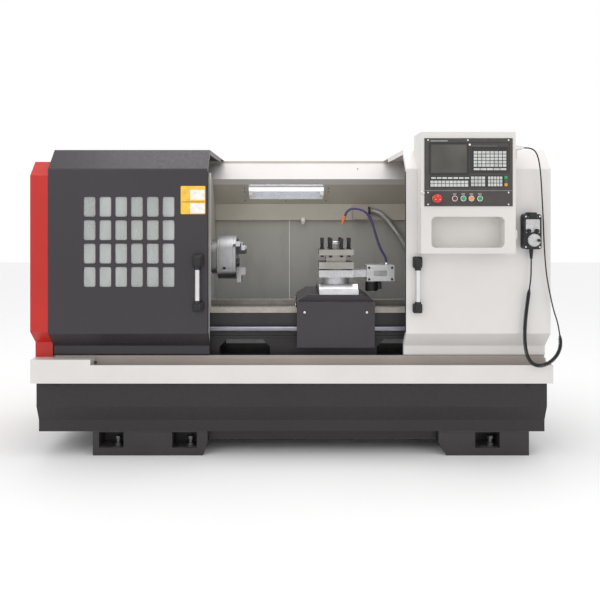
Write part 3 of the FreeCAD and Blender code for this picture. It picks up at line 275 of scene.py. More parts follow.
finishes = {
    "blackPaint": paint("blackPaint", tone(46, 41, 46), 0.42, coat=0.1, dust=0.035, mottle=0.06),
    "standBlack": paint("standBlack", tone(38, 33, 35), 0.5, coat=0.0, dust=0.1, mottle=0.08),
    "footBlack": paint("footBlack", tone(48, 45, 46), 0.5, peel=0.6, coat=0.0, dust=0.12, mottle=0.12),
    "whitePaint": paint("whitePaint", tone(218, 215, 213), 0.36, coat=0.3, dust=0.05, mottle=0.025),
    "boxWhite": paint("boxWhite", tone(216, 213, 209), 0.42, peel=0.5, coat=0.15, dust=0.04, mottle=0.025),
    "redPaint": paint("redPaint", tone(186, 22, 8), 0.36, coat=0.12, dust=0.03, mottle=0.05),
    # tan paint; on the front track this tan is painted shade of the tray's white ledge under the doors
    "tanPaintAndShade": paint("tanPaintAndShade", tone(170, 160, 153), 0.42, coat=0.1, dust=0.1, mottle=0.05),
    "slidePaint": paint("slidePaint", tone(50, 46, 52), 0.42, coat=0.1, dust=0.08, mottle=0.07),
    "motorPaint": paint("motorPaint", tone(104, 108, 110), 0.5, peel=0.5, dust=0.25, mottle=0.1),
    "guardSheet": guardSheet(),
    "bedCasting": castBed(),
    "canopyPaintAndShade": canopyPaintAndShade(),
    "railSteel": machined("railSteel", (0.3, 0.3, 0.34), 0.36, (1, 60, 60)),
    "brightSteel": machined("brightSteel", (0.68, 0.68, 0.69), 0.28),
    "turretSteel": machined("turretSteel", (0.42, 0.4, 0.37), 0.36),
    "turnedSteel": machined("turnedSteel", (0.42, 0.42, 0.43), 0.34, (60, 1, 1)),
    "darkSteel": machined("darkSteel", (0.16, 0.16, 0.17), 0.4, (1, 40, 40), 0.9),
    "conduitSteel": machined("conduitSteel", (0.52, 0.52, 0.5), 0.42, (1, 1, 1), 0.9, 0.15),
    "silverCast": machined("silverCast", (0.6, 0.6, 0.61), 0.42, (8, 8, 8), 0.75, 0.1),
    "satinBar": machined("satinBar", (0.8, 0.8, 0.79), 0.32, (60, 60, 1), 0.9, 0.05),
    "chrome": machined("chrome", (0.78, 0.77, 0.76), 0.12, (1, 20, 20), 1.0, 0.04),
    "reflector": machined("reflector", (0.86, 0.88, 0.92), 0.24, (1, 30, 1), 0.85, 0.05),
    "blackPlastic": moulded("blackPlastic", tone(30, 28, 29), 0.5),
    "screwBlack": machined("screwBlack", (0.05, 0.05, 0.055), 0.38, (30, 30, 1), 0.8),
    "rubber": moulded("rubber", tone(34, 33, 35), 0.62, 700.0, 0.3),
    "panelFilm": moulded("panelFilm", tone(66, 62, 60), 0.45, 1400.0, 0.1),
    "panelDark": moulded("panelDark", tone(40, 38, 38), 0.42, 1400.0, 0.1),
    "keyGrey": moulded("keyGrey", tone(196, 198, 196), 0.5, 1200.0, 0.1),
    "keyDark": moulded("keyDark", tone(70, 72, 76), 0.5, 1200.0, 0.1),
    "labelGrey": moulded("labelGrey", tone(150, 150, 150), 0.45, 1200.0, 0.05),
    "lampGreen": moulded("lampGreen", tone(18, 150, 84), 0.25, 600.0, 0.05, 0.5),
    "lampDeepGreen": moulded("lampDeepGreen", tone(28, 92, 62), 0.3, 600.0, 0.05, 0.4),
    "lampAmber": moulded("lampAmber", tone(226, 142, 40), 0.25, 600.0, 0.05, 0.5),
    "lampRed": moulded("lampRed", tone(120, 28, 34), 0.28, 600.0, 0.05, 0.5),
    "stopRed": moulded("stopRed", tone(205, 30, 34), 0.28, 500.0, 0.08, 0.5),
    "signYellow": moulded("signYellow", tone(244, 192, 62), 0.42, 1200.0, 0.05, 0.2),
    "signWhite": moulded("signWhite", tone(238, 236, 228), 0.45, 1200.0, 0.05),
    "hosePurple": moulded("hosePurple", tone(62, 42, 96), 0.35, 500.0, 0.08, 0.3),
    "nozzleOrange": moulded("nozzleOrange", tone(226, 110, 38), 0.35, 500.0, 0.08, 0.3),
    "clearPane": clearPane(),
    "darkScreen": darkScreen(),
    "glowTube": glowTube(),
}
print("finishes made:", len(finishes))

cadFinish = {
    "base_stand": "standBlack", "left_foot": "footBlack", "right_foot": "footBlack",
    # front_track: its tan stands for painted shade on the tray's ledge beneath the doors
    "levelling_screws": "darkSteel", "chip_tray": "whitePaint", "front_track": "tanPaintAndShade",
    "end_cover": "redPaint", "bed": "bedCasting", "carriage_rail": "railSteel", "headstock": "motorPaint",
    "headstock_guard": "guardSheet", "rear_guard": "guardSheet", "canopy": "canopyPaintAndShade",
    "lamp_housing": "reflector", "lamp_tube": "glowTube", "conduit_boxes": "tanPaintAndShade", "tail_guard": "guardSheet",
    "main_motor": "motorPaint", "drive_belt": "rubber", "cabinet_body": "boxWhite", "coolant_pump": "motorPaint",
    "cabinet_door": "boxWhite", "left_door_panel": "blackPaint", "left_door_window": "clearPane",
    "left_door_handle": "blackPlastic", "right_door_panel": "whitePaint", "right_door_handle": "blackPlastic",
    "control_box": "boxWhite", "cable_socket": "chrome", "pendant_body": "blackPlastic",
    "control_front": "boxWhite", "control_panel": "panelFilm", "control_screen": "darkScreen",
    "control_keys": "panelDark", "stop_button": "stopRed", "button_red": "lampRed", "button_green": "lampGreen",
    "button_amber": "lampAmber", "button_start": "lampGreen", "pendant_wheel": "silverCast",
    "axis_knob": "blackPlastic", "step_knob": "blackPlastic", "spindle": "turnedSteel",
    "chuck_body": "turnedSteel", "jaw_1": "turnedSteel", "jaw_2": "turnedSteel", "jaw_3": "turnedSteel",
    "motor_pulley": "turnedSteel", "saddle": "slidePaint", "apron_cover": "slidePaint", "cross_slide": "brightSteel",
    "turret_drive": "silverCast", "turret_head": "turretSteel", "turret_screws": "screwBlack",
    "tailstock_body": "motorPaint", "tailstock_quill": "brightSteel",
}
for nodeName, finishName in cadFinish.items():
    mesh = nodes[nodeName].data
    mesh.materials.clear()
    mesh.materials.append(finishes[finishName])
print("finishes given to the frame's own pieces")


# ---- mesh helpers ----

toFront, toRear, toLeft, toRight = (0, -1, 0), (0, 1, 0), (-1, 0, 0), (1, 0, 0)
upward, downward = (0, 0, 1), (0, 0, -1)
origin = Vector((0, 0, 0))


def addBlock(bm, low, high, bevel=0.0, segments=2):
    # a block between two corners with rounded edges
    made = bmesh.ops.create_cube(bm, size=1.0)["verts"]
    size = high - low
    for vert in made:
        vert.co = low + Vector(((vert.co.x + 0.5) * size.x, (vert.co.y + 0.5) * size.y, (vert.co.z + 0.5) * size.z))
    if bevel > 0:
        edges = list({edge for vert in made for edge in vert.link_edges})
        bmesh.ops.bevel(bm, geom=edges, offset=bevel, segments=segments, profile=0.5, affect="EDGES")


def addTurned(bm, profile, centre, axis, steps):
    # a closed turned shape: profile holds (radius, distance along the axis) from one end to the other
    axis = Vector(axis).normalized()
    side = axis.orthogonal().normalized()
    other = axis.cross(side)
    rings = []
    for radius, along in profile:
        middle = centre + axis * along
        if radius < 1e-7:
            rings.append([bm.verts.new(middle)])
            continue
        angles = [2 * math.pi * i / steps for i in range(steps)]
        rings.append([bm.verts.new(middle + (side * math.cos(a) + other * math.sin(a)) * radius) for a in angles])
    for first, second in zip(rings, rings[1:]):
        for i in range(steps):
            j = (i + 1) % steps
            corners = [first[i % len(first)], first[j % len(first)],
                       second[j % len(second)], second[i % len(second)]]
            corners = list(dict.fromkeys(corners))
            if len(corners) > 2:
                bm.faces.new(corners)
    for ring in (rings[0], rings[-1]):
        if len(ring) > 1:
            bm.faces.new(ring)


def addPrism(bm, outline, direction):
    # a closed outline drawn out along a direction
    face = bm.faces.new([bm.verts.new(p) for p in outline])
    made = bmesh.ops.extrude_face_region(bm, geom=[face])["geom"]
    bmesh.ops.translate(bm, vec=direction, verts=[v for v in made if isinstance(v, bmesh.types.BMVert)])


def joinRings(bm, rings):
    # faces between neighbouring rings of the same number of points
    for first, second in rings:
        for i in range(len(first)):
            j = (i + 1) % len(first)
            bm.faces.new((first[i], first[j], second[j], second[i]))


def meshFrom(bm, name, smoothAngle=35):
    bmesh.ops.recalc_face_normals(bm, faces=bm.faces)
    mesh = bpy.data.meshes.new(name)
    bm.to_mesh(mesh)
    bm.free()
    for polygon in mesh.polygons:
        polygon.use_smooth = True
    mesh.set_sharp_from_angle(angle=math.radians(smoothAngle))
    return mesh


def newObject(name, data):
    made = bpy.data.objects.new(name, data)
    bpy.context.scene.collection.objects.link(made)
    return made


def newPiece(name, mesh, finish, body, slot):
    piece = newObject(name, mesh)
    if finish:
        mesh.materials.clear()
        mesh.materials.append(finishes[finish])
    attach(piece, body)
    return piece


def filled(parts):
    bm = bmesh.new()
    for part in parts:
        part(bm)
    return bm


def build(name, finish, body, slot, *parts):
    # a piece from its parts, each a function that adds a shape to a bmesh
    return newPiece(name, meshFrom(filled(parts), name), finish, body, slot)


def block(low, high, bevel=0.0, segments=2):
    return lambda bm: addBlock(bm, place(*low), place(*high), bevel, segments)


def turned(profile, spot, axis, steps):
    return lambda bm: addTurned(bm, profile, place(*spot), axis, steps)


# ---- geometry trees for what repeats ----

def startTree(name, inputs):
    group = bpy.data.node_groups.new(name, "GeometryNodeTree")
    group.interface.new_socket("Geometry", in_out="INPUT", socket_type="NodeSocketGeometry")
    for label, kind in inputs.items():
        group.interface.new_socket(label, in_out="INPUT", socket_type="NodeSocket" + kind)
    group.interface.new_socket("Geometry", in_out="OUTPUT", socket_type="NodeSocketGeometry")
    graph = Graph(group)
    source = group.nodes.new("NodeGroupInput")
    given = {output.name: Socket(graph, output) for output in source.outputs if output.name}
    return group, graph, given


def endTree(group, graph, shape, finish):
    solid = graph.add("GeometryNodeRealizeInstances", sockets={0: shape})
    painted = graph.add("GeometryNodeSetMaterial", sockets={"Geometry": solid, "Material": finish})
    target = group.nodes.new("NodeGroupOutput")
    group.links.new(painted.link, target.inputs[0])
    return group


def copiesTree():
    # one copy of a template on every point
    group, graph, given = startTree("copiesOnPoints", {"Copy": "Object", "Turn": "Rotation", "Finish": "Material"})
    copy = graph.add("GeometryNodeObjectInfo", sockets={"Object": given["Copy"]}, out="Geometry")
    placed = graph.add("GeometryNodeInstanceOnPoints",
                       sockets={"Points": given["Geometry"], "Instance": copy, "Rotation": given["Turn"]})
    return endTree(group, graph, placed, given["Finish"])


def gridTree():
    # rows and columns of one template
    labels = {"Copy": "Object", "Width": "Float", "Height": "Float", "Columns": "Int", "Rows": "Int",
              "Centre": "Vector", "Turn": "Rotation", "Finish": "Material"}
    group, graph, given = startTree("rowsAndColumns", labels)
    grid = graph.add("GeometryNodeMeshGrid",
                     sockets={"Size X": given["Width"], "Size Y": given["Height"],
                              "Vertices X": given["Columns"], "Vertices Y": given["Rows"]})
    copy = graph.add("GeometryNodeObjectInfo", sockets={"Object": given["Copy"]}, out="Geometry")
    placed = graph.add("GeometryNodeInstanceOnPoints", sockets={"Points": grid, "Instance": copy})
    moved = graph.add("GeometryNodeTransform",
                      sockets={"Geometry": placed, "Translation": given["Centre"], "Rotation": given["Turn"]})
    return endTree(group, graph, moved, given["Finish"])


def hoseTree(name, ribShape):
    # a tube along a curve whose radius follows a repeating shape
    labels = {"Radius": "Float", "Pitch": "Float", "Depth": "Float", "Finish": "Material"}
    group, graph, given = startTree(name, labels)
    samplesPerRib, sides = 8.0, 20
    fine = graph.add("GeometryNodeResampleCurve", {"mode": "LENGTH"},
                     {"Curve": given["Geometry"], "Length": given["Pitch"] / samplesPerRib})
    along = graph.add("GeometryNodeSplineParameter", out="Length")
    phase = (along / given["Pitch"]).maths("FRACT")
    radius = given["Radius"] - given["Depth"] * ribShape(phase)
    ring = graph.add("GeometryNodeCurvePrimitiveCircle", sockets={"Resolution": sides, "Radius": 1.0})
    tube = graph.add("GeometryNodeCurveToMesh",
                     sockets={"Curve": fine, "Profile Curve": ring, "Scale": radius, "Fill Caps": True})
    smooth = graph.add("GeometryNodeSetShadeSmooth", sockets={0: tube})
    return endTree(group, graph, smooth, given["Finish"])


trees = {
    "copies": copiesTree(),
    "grid": gridTree(),
    "ribbed": hoseTree("ribbedHose", lambda phase: (phase * (2 * math.pi)).maths("COSINE") * 0.5 + 0.5),
    "segmented": hoseTree("segmentedHose", lambda phase: phase * phase),
}


def bakeTree(name, tree, data, values, body, slot):
    # runs a tree on a mesh or curve and keeps the plain mesh
    group = trees[tree]
    carrier = newObject(name + "Source", data or bpy.data.meshes.new(name))
    modifier = carrier.modifiers.new("Shape", "NODES")
    modifier.node_group = group
    for item in group.interface.items_tree:
        if item.in_out == "INPUT" and item.name in values:
            modifier[item.identifier] = values[item.name]
    carrier.update_tag()
    graph = bpy.context.evaluated_depsgraph_get()
    mesh = bpy.data.meshes.new_from_object(carrier.evaluated_get(graph), depsgraph=graph)
    bpy.data.objects.remove(carrier)
    mesh.name = name
    return newPiece(name, mesh, None, body, slot)


templates = []


def templateFrom(name, *parts):
    # a shape that trees copy, taken away again at the end
    template = newObject(name, meshFrom(filled(parts), name))
    templates.append(template)
    return template


def turnedTemplate(name, profile, steps):
    return templateFrom(name, lambda bm: addTurned(bm, profile, origin, upward, steps))


def screwTemplate(name, radius, height, socketRadius):
    # a cap screw head with a hexagon socket, facing +Z
    profile = [(radius, 0.0), (radius, height * 0.8), (radius * 0.88, height), (socketRadius * 1.15, height),
               (socketRadius, height * 0.94), (socketRadius, height * 0.35), (0.0, height * 0.3)]
    return turnedTemplate(name, profile, 24)


def turnTo(direction):
    return tuple(Vector(direction).to_track_quat("Z", "Y").to_euler())


faceFront = (math.radians(90), 0.0, 0.0)
faceRight, faceLeft, faceRear, unturned = turnTo(toRight), turnTo(toLeft), turnTo(toRear), (0.0, 0.0, 0.0)


def screws(name, template, points, turn, finish, body, slot):
    mesh = bpy.data.meshes.new(name + "Points")
    mesh.from_pydata([tuple(p) for p in points], [], [])
    values = {"Copy": template, "Turn": turn, "Finish": finishes[finish]}
    return bakeTree(name, "copies", mesh, values, body, slot)


# ---- camera and light first ----

cameraSettings = {"distance": 3.7, "height": 1.29, "lens": 42.7, "shiftX": 0.0138, "shiftY": -0.1467}
lights = {
    # name: place, aims at, width, height, watts
    "keyLight": ((-2.6, -4.6, 3.6), (0.0, -0.3, 0.9), 3.0, 2.2, 22),
    "fillLight": ((3.4, -4.4, 2.2), (0.2, -0.3, 0.9), 2.6, 2.6, 8),
    "topLight": ((0.0, -0.4, 4.2), (0.0, 0.0, 1.0), 3.4, 2.2, 52),
}
world = {"color": (1.0, 1.0, 1.0, 1.0), "strength": 1.0}
floor = {"color": (0.9, 0.9, 0.9), "roughness": 0.75, "halfSide": 14.0}


def makeCamera():
    data = bpy.data.cameras.new("camera")
    data.lens = cameraSettings["lens"]
    data.shift_x = cameraSettings["shiftX"]
    data.shift_y = cameraSettings["shiftY"]
    camera = newObject("camera", data)
    camera.location = (0, yShift - cameraSettings["distance"], cameraSettings["height"])
    camera.rotation_euler = (math.radians(90), 0, 0)
    bpy.context.scene.camera = camera


def makeLights():
    for name, (location, target, width, height, watts) in lights.items():
        data = bpy.data.lights.new(name, "AREA")
        data.shape = "RECTANGLE"
        data.size = width
        data.size_y = height
        data.energy = watts
        lamp = newObject(name, data)
        lamp.location = location
        lamp.rotation_euler = (Vector(target) - Vector(location)).to_track_quat("-Z", "Y").to_euler()
    studio = bpy.data.worlds.new("studio")
    studio.use_nodes = True
    background = studio.node_tree.nodes["Background"]
    background.inputs[0].default_value = world["color"]
    background.inputs[1].default_value = world["strength"]
    bpy.context.scene.world = studio
    bpy.context.scene.view_settings.view_transform = "Standard"


def makeFloor():
    floorFinish = Finish("studioFloor", floor["color"], floor["roughness"])
    floorFinish.feed("Roughness", floorFinish.spread(floorFinish.noise(2.0), 0.7, 0.8))
    bm = bmesh.new()
    bmesh.ops.create_grid(bm, x_segments=2, y_segments=2, size=floor["halfSide"])
    mesh = meshFrom(bm, "studioFloor")
    mesh.materials.append(floorFinish.material)
    newObject("studioFloor", mesh)


makeCamera()
makeLights()
makeFloor()
print("camera, lights and floor made")


# ---- the pendant's cable: one cord, plain, then curly, then plain again ----

cable = {
    "diameter": 0.007,
    "sides": 8,
    "plainStep": 0.006,
    "curlPitch": 0.0082,
    "curlRadius": 0.0068,
    "curlFade": 0.03,
    "turnSteps": 12,
}
# x, depth behind the doors' front plane, z, in millimetres
cableRoute = [
    (1187, -60, 1618), (1218, -60, 1618), (1246, -58, 1604), (1263, -54, 1570), (1274, -49, 1520),
    (1283, -42, 1440), (1290, -36, 1345), (1296, -33, 1250), (1300, -31, 1150), (1306, -30, 1050),
    (1315, -30, 955), (1333, -30, 862), (1351, -30, 780), (1374, -30, 714), (1382, -30, 658),
]
curlRoute = [
    (1382, -30, 658), (1388, -30, 616), (1380, -30, 572), (1356, -30, 534), (1320, -30, 506), (1279, -30, 494),
    (1240, -30, 506), (1214, -30, 546), (1203, -30, 602), (1201, -30, 672), (1206, -30, 748), (1215, -30, 822),
    (1226, -30, 895),
]
leadRoute = [(1226, -30, 895), (1233.4, -30, 944), (1235, -30, 996), (1235, -30, 1048)]


def splineCurve(name, points, resolution):
    # a NURBS spline with the route's points as its control points
    data = bpy.data.curves.new(name, "CURVE")
    data.dimensions = "3D"
    data.resolution_u = resolution
    spline = data.splines.new("NURBS")
    spline.points.add(len(points) - 1)
    for point, spot in zip(spline.points, points):
        point.co = (*place(*spot), 1.0)
    spline.order_u = 3
    spline.use_endpoint_u = True
    return data


def smoothLine(name, route):
    # points read along the route's spline
    holder = newObject(name, splineCurve(name, route, 24))
    graph = bpy.context.evaluated_depsgraph_get()
    mesh = bpy.data.meshes.new_from_object(holder.evaluated_get(graph))
    points = [v.co.copy() for v in mesh.vertices]
    bpy.data.objects.remove(holder)
    bpy.data.meshes.remove(mesh)
    return points


def walk(points, step):
    # the same line with even steps
    lengths = [(b - a).length for a, b in zip(points, points[1:])]
    total = sum(lengths)
    count = max(2, round(total / step))
    result = []
    index, done = 0, 0.0
    for i in range(count + 1):
        want = total * i / count
        while index < len(lengths) - 1 and done + lengths[index] < want:
            done += lengths[index]
            index += 1
        share = (want - done) / lengths[index] if lengths[index] else 0.0
        result.append(points[index].lerp(points[index + 1], min(1.0, max(0.0, share))))
    return result


def crossFrames(points):
    # at each point two directions across the line, turning no more than the line does
    last = len(points) - 1
    side = None
    for i, point in enumerate(points):
        tangent = (points[min(i + 1, last)] - points[max(i - 1, 0)]).normalized()
        side = side or tangent.orthogonal().normalized()
        side = (side - tangent * side.dot(tangent)).normalized()
        yield point, side, tangent.cross(side)


def sweptTube(bm, points, radius, sides):
    # a closed round tube along points
    angles = [2 * math.pi * k / sides for k in range(sides)]
    rings = [[bm.verts.new(point + (side * math.cos(a) + other * math.sin(a)) * radius) for a in angles]
             for point, side, other in crossFrames(points)]
    joinRings(bm, zip(rings, rings[1:]))
    bm.faces.new(rings[0])
    bm.faces.new(rings[-1])


def curlPoints():
    # the helix rides round the curly stretch; its radius grows and fades at both ends
    step = cable["curlPitch"] / cable["turnSteps"]
    line = walk(smoothLine("curlLine", curlRoute), step)
    total = len(line) - 1
    fade = round(cable["curlFade"] / step)
    points = []
    for i, (point, side, other) in enumerate(crossFrames(line)):
        ends = min(1.0, i / fade, (total - i) / fade)
        size = cable["curlRadius"] * math.sin(ends * math.pi / 2)
        angle = 2 * math.pi * i / cable["turnSteps"]
        points.append(point + (side * math.cos(angle) + other * math.sin(angle)) * size)
    return points


def pendantCable():
    start = walk(smoothLine("cableLine", cableRoute), cable["plainStep"])
    end = walk(smoothLine("leadLine", leadRoute), cable["plainStep"])
    path = start + curlPoints()[1:-1] + end
    length = sum((b - a).length for a, b in zip(path, path[1:]))
    print("pendant cable length", round(length, 3))
    bm = bmesh.new()
    sweptTube(bm, path, cable["diameter"] / 2, cable["sides"])
    piece = newPiece("pendantCord", meshFrom(bm, "pendantCord", 60), "rubber", "right_door", "cable_black")
    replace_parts(piece, "pendant_cable", "pendant_coil")


pendantCable()
print("pendant cable made")


# ---- handles, sign and trims on the doors ----

capScrew = screwTemplate("capScrew", 0.0065, 0.003, 0.0032)
boltHead = screwTemplate("boltHead", 0.011, 0.007, 0.0055)
smallScrew = screwTemplate("smallScrew", 0.0042, 0.0022, 0.002)
handles = {
    # name: body, blocks' x range, bottoms and tops of the lower and upper block, node replaced
    "leftDoorGrip": ("left_door", (-514, -459), ((774, 822), (1003, 1070)), "left_door_handle"),
    "rightDoorGrip": ("right_door", (627, 675), ((767, 816), (1000, 1059)), "right_door_handle"),
}
grip = {"barD": -31, "barRadius": 0.013, "front": -48, "base": -34, "capD": -48.2}


def handle(name, body, across, heights, node):
    x0, x1 = across
    middle = (x0 + x1) / 2
    collar = [(0.0165, 0.0), (0.0165, 0.016), (0.0148, 0.019)]
    parts = []
    for (z0, z1), start, way in ((heights[0], heights[0][1] - 8, upward), (heights[1], heights[1][0] + 8, downward)):
        parts += [block((x0, grip["base"], z0), (x1, 0, z1), 0.008, 4),
                  block((x0 + 7, grip["front"], z0 + 6), (x1 - 7, -20, z1 - 6), 0.009, 4),
                  turned(collar, (middle, grip["barD"], start), way, 28)]
    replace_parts(build(name, "blackPlastic", body, "handle_black", *parts), node)
    low, high = heights[0][1] - 4, heights[1][0] + 4
    radius, length = grip["barRadius"], (high - low) * mm
    bar = [(radius * 0.7, 0.0), (radius, 0.002), (radius, length - 0.002), (radius * 0.7, length)]
    build(name + "Bar", "satinBar", body, "handle_black", turned(bar, (middle, grip["barD"], low), upward, 28))
    points = [place(middle, grip["capD"], (z0 + z1) / 2) for z0, z1 in heights]
    screws(name + "Caps", capScrew, points, faceFront, "screwBlack", body, "handle_black")


for name, settings in handles.items():
    handle(name, *settings)
print("handles made")


def roundedOutline(x0, x1, z0, z1, radius, d, steps=5):
    points = []
    for cx, cz, start in ((x1 - radius, z1 - radius, 0), (x0 + radius, z1 - radius, 90),
                          (x0 + radius, z0 + radius, 180), (x1 - radius, z0 + radius, 270)):
        for i in range(steps + 1):
            a = math.radians(start + 90 * i / steps)
            points.append(place(cx + radius * math.cos(a), d, cz + radius * math.sin(a)))
    return points


def plate(name, finish, body, slot, boxes, back, thick, radius):
    # thin plates with round corners, their fronts thick millimetres before their backs
    def fill(bm):
        for box in boxes:
            addPrism(bm, roundedOutline(*box, radius, back), Vector((0, -thick * mm, 0)))
    return build(name, finish, body, slot, fill)


sign = {"x0": -577, "x1": -449, "z0": 1279, "z1": 1425}


def doorSign():
    # a blank yellow plate with two pale fields and a dark rule between them
    x0, x1, z0, z1 = sign["x0"], sign["x1"], sign["z0"], sign["z1"]
    plate("signPlate", "signYellow", "left_door", "stop_red", [(x0, x1, z0, z1)], 0, 0.8, 5)
    fields = [(x0 + 50, x1 - 4, z1 - 72, z1 - 20), (x0 + 50, x1 - 4, z0 + 5, z1 - 90)]
    plate("signFields", "signWhite", "left_door", "handle_black", fields, -0.8, 0.3, 2)
    plate("signRule", "keyDark", "left_door", "handle_black", [(x0 + 6, x1 - 4, z1 - 84, z1 - 81)], -0.8, 0.25, 1)


doorSign()

windowGrid = {"columns": 6, "rows": 4, "left": -1084, "bottom": 898, "pitchX": 82.1, "pitchZ": 121.7,
              "width": 65.5, "height": 107.6}


def windowTrim():
    # a thin dark lip folded round every hole of the left door's window
    g = windowGrid
    outer = roundedOutline(0, g["width"] + 0.3, 0, g["height"] + 0.3, 12, 0)
    inner = roundedOutline(2.4, g["width"] - 2.1, 2.4, g["height"] - 2.1, 10, 0)
    middle = place(g["width"] / 2, 0, g["height"] / 2)

    def lip(bm):
        rings = [[bm.verts.new(p - middle + Vector((0, depth * mm, 0))) for p in outline]
                 for outline, depth in ((outer, -0.9), (inner, -0.9), (inner, 2.8), (outer, 2.8))]
        joinRings(bm, zip(rings, rings[1:] + rings[:1]))
    points = [place(g["left"] + c * g["pitchX"] + g["width"] / 2, 0, g["bottom"] + r * g["pitchZ"] + g["height"] / 2)
              for c in range(g["columns"]) for r in range(g["rows"])]
    screws("windowLips", templateFrom("windowLip", lip), points, unturned, "blackPaint", "left_door", "door_black")


windowTrim()

# rubber edges along the doors' meeting sides
build("leftDoorEdge", "rubber", "left_door", "handle_black", block((-438.6, 1, 662), (-435.5, 22, 1500), 0.001))
build("rightDoorEdge", "rubber", "right_door", "handle_black", block((592.6, 1, 662), (595.4, 22, 1500), 0.001))
print("door pieces made")


# ---- control box front ----

panel = {
    "faceD": -113, "keyD": -116, "rimD": -117, "buttonZ": 1358, "buttonXs": (821, 864, 905, 948),
    "stopX": 730, "stopMarkD": (-150.5, -149.6), "boxX": 653, "boxZ": 1080,
    "screws": ((687, 1652), (888, 1652), (1093, 1652), (687, 1388), (1093, 1388), (687, 1328), (1093, 1328)),
}
keyFields = {
    # name: x and z from the box's lower left corner, width, height, columns, rows, gap, finish
    "letterKeys": (262, 436, 167, 82, 8, 5, 3.2, "keyGrey"),
    "cursorKeys": (262, 419, 167, 13, 5, 1, 3.0, "keyGrey"),
    "headerKeys": (398, 522, 33, 11, 2, 1, 3.0, "screwBlack"),
    "softKeys": (47, 374, 196, 14, 7, 1, 5.0, "keyGrey"),
    "modeKeys": (44, 336, 193, 33, 10, 2, 2.6, "keyGrey"),
    "axisKeys": (248, 338, 74, 52, 4, 3, 3.0, "keyGrey"),
    "feedKeys": (334, 338, 75, 52, 5, 3, 3.0, "keyGrey"),
}
colouredKeys = {"runKey": (374, "lampGreen"), "holdKey": (356, "lampDeepGreen"), "waitKey": (338, "lampAmber")}
rimProfile = [(0.0118, 0.0), (0.0152, 0.0), (0.0152, 0.0012), (0.0142, 0.0026), (0.0121, 0.0026), (0.0118, 0.0014)]
ledProfile = [(0.0055, 0.0), (0.0055, 0.0016), (0.004, 0.0022), (0.0036, 0.004), (0.0, 0.0052)]
collarProfile = [(0.0182, 0.0), (0.0212, 0.0), (0.0212, 0.005), (0.0196, 0.0078), (0.0182, 0.0078)]


def keyField(name, x, z, width, height, columns, rows, gap, finish):
    pitchX, pitchZ = width / columns, height / rows
    keyWidth, keyHeight = pitchX - gap, pitchZ - gap
    low, high = Vector((-keyWidth, -keyHeight, 0)) * (0.5 * mm), Vector((keyWidth / 2, keyHeight / 2, 1.3)) * mm
    key = templateFrom(name + "Key", lambda bm: addBlock(bm, low, high, 0.0004))
    centre = place(panel["boxX"] + x + width / 2, panel["keyD"], panel["boxZ"] + z + height / 2)
    values = {"Copy": key, "Width": (width - pitchX) * mm, "Height": (height - pitchZ) * mm, "Columns": columns,
              "Rows": rows, "Centre": centre, "Turn": faceFront, "Finish": finishes[finish]}
    bakeTree(name, "grid", None, values, "control_lid", "keys_light")


def frameRing(x0, x1, z0, z1, width, back, thick):
    # a flat rectangular frame with mitred corners
    def fill(bm):
        outer, inner = ([place(x, back, z) for x, z in ((x0 + w, z0 + w), (x1 - w, z0 + w), (x1 - w, z1 - w),
                                                        (x0 + w, z1 - w))] for w in (0, width))
        drop = Vector((0, -thick * mm, 0))
        rings = [[bm.verts.new(p) for p in ring]
                 for ring in (outer, [p + drop for p in outer], [p + drop for p in inner], inner)]
        joinRings(bm, zip(rings, rings[1:] + rings[:1]))
    return fill


def controlPanel():
    face, keys, buttonZ, stopX = panel["faceD"], panel["keyD"], panel["buttonZ"], panel["stopX"]
    for name, field in keyFields.items():
        keyField(name, *field)
    for name, (z, finish) in colouredKeys.items():
        low, high = panel["boxZ"] + z + 1.5, panel["boxZ"] + z + 16.5
        build(name, finish, "control_lid", "keys_light",
              block((panel["boxX"] + 418, keys - 1.4, low), (panel["boxX"] + 434, keys, high), 0.0005))
    build("panelFrames", "panelDark", "control_lid", "panel_black",
          frameRing(692, 894, 1477, 1641, 8, face, 1.6), frameRing(899, 1098, 1487, 1641, 3, face, 1.2))
    build("panelRules", "labelGrey", "control_lid", "panel_black",
          block((670, face - 0.4, 1396.6), (1113, face, 1398.6)), block((700, face - 0.4, 1645.5), (786, face, 1651)),
          block((908, face - 0.4, 1622), (1040, face, 1623.2)))
    screws("panelScrews", smallScrew, [place(x, face, z) for x, z in panel["screws"]], faceFront, "chrome",
           "control_lid", "chrome")
    screws("buttonRims", turnedTemplate("buttonRim", rimProfile, 36),
           [place(x, panel["rimD"], buttonZ) for x in panel["buttonXs"]], faceFront, "chrome", "control_lid", "chrome")
    plate("buttonLabels", "labelGrey", "control_lid", "keys_light",
          [(x - 9, x + 9, buttonZ + 19, buttonZ + 26) for x in panel["buttonXs"]], face, 0.5, 1.5)
    build("panelLed", "signWhite", "control_lid", "keys_light", turned(ledProfile, (897, face, 1629), toFront, 20))
    build("stopCollar", "signYellow", "control_lid", "panel_black",
          turned(collarProfile, (stopX, face, buttonZ), toFront, 40))
    marks = []          # raised turning marks on the stop button's head
    for angle in (90, 210, 330):
        x, z = stopX + 12 * math.cos(math.radians(angle)), buttonZ + 12 * math.sin(math.radians(angle))
        front, back = panel["stopMarkD"]
        marks.append(block((x - 2.4, front, z - 1), (x + 2.4, back, z + 1), 0.0002, 1))
    build("stopMarks", "signWhite", "stop_push", "stop_red", *marks)
    # a lock in the lid and the rubber seal behind its edge
    build("lidLock", "chrome", "control_lid", "chrome",
          turned([(0.0095, 0.0), (0.0095, 0.002), (0.008, 0.004), (0.0, 0.004)], (662, -110, 1386), toFront, 28),
          block((661.2, -115.4, 1381), (662.8, -113.6, 1391), 0.0002, 1))
    build("lidSeal", "rubber", "right_door", "handle_black",
          block((655, -88.1, 1082), (658, -87.2, 1692)), block((655, -88.1, 1690), (1128, -87.2, 1693)),
          block((655, -88.1, 1081), (1128, -87.2, 1084)))


controlPanel()
print("control panel made")


# ---- pendant ----

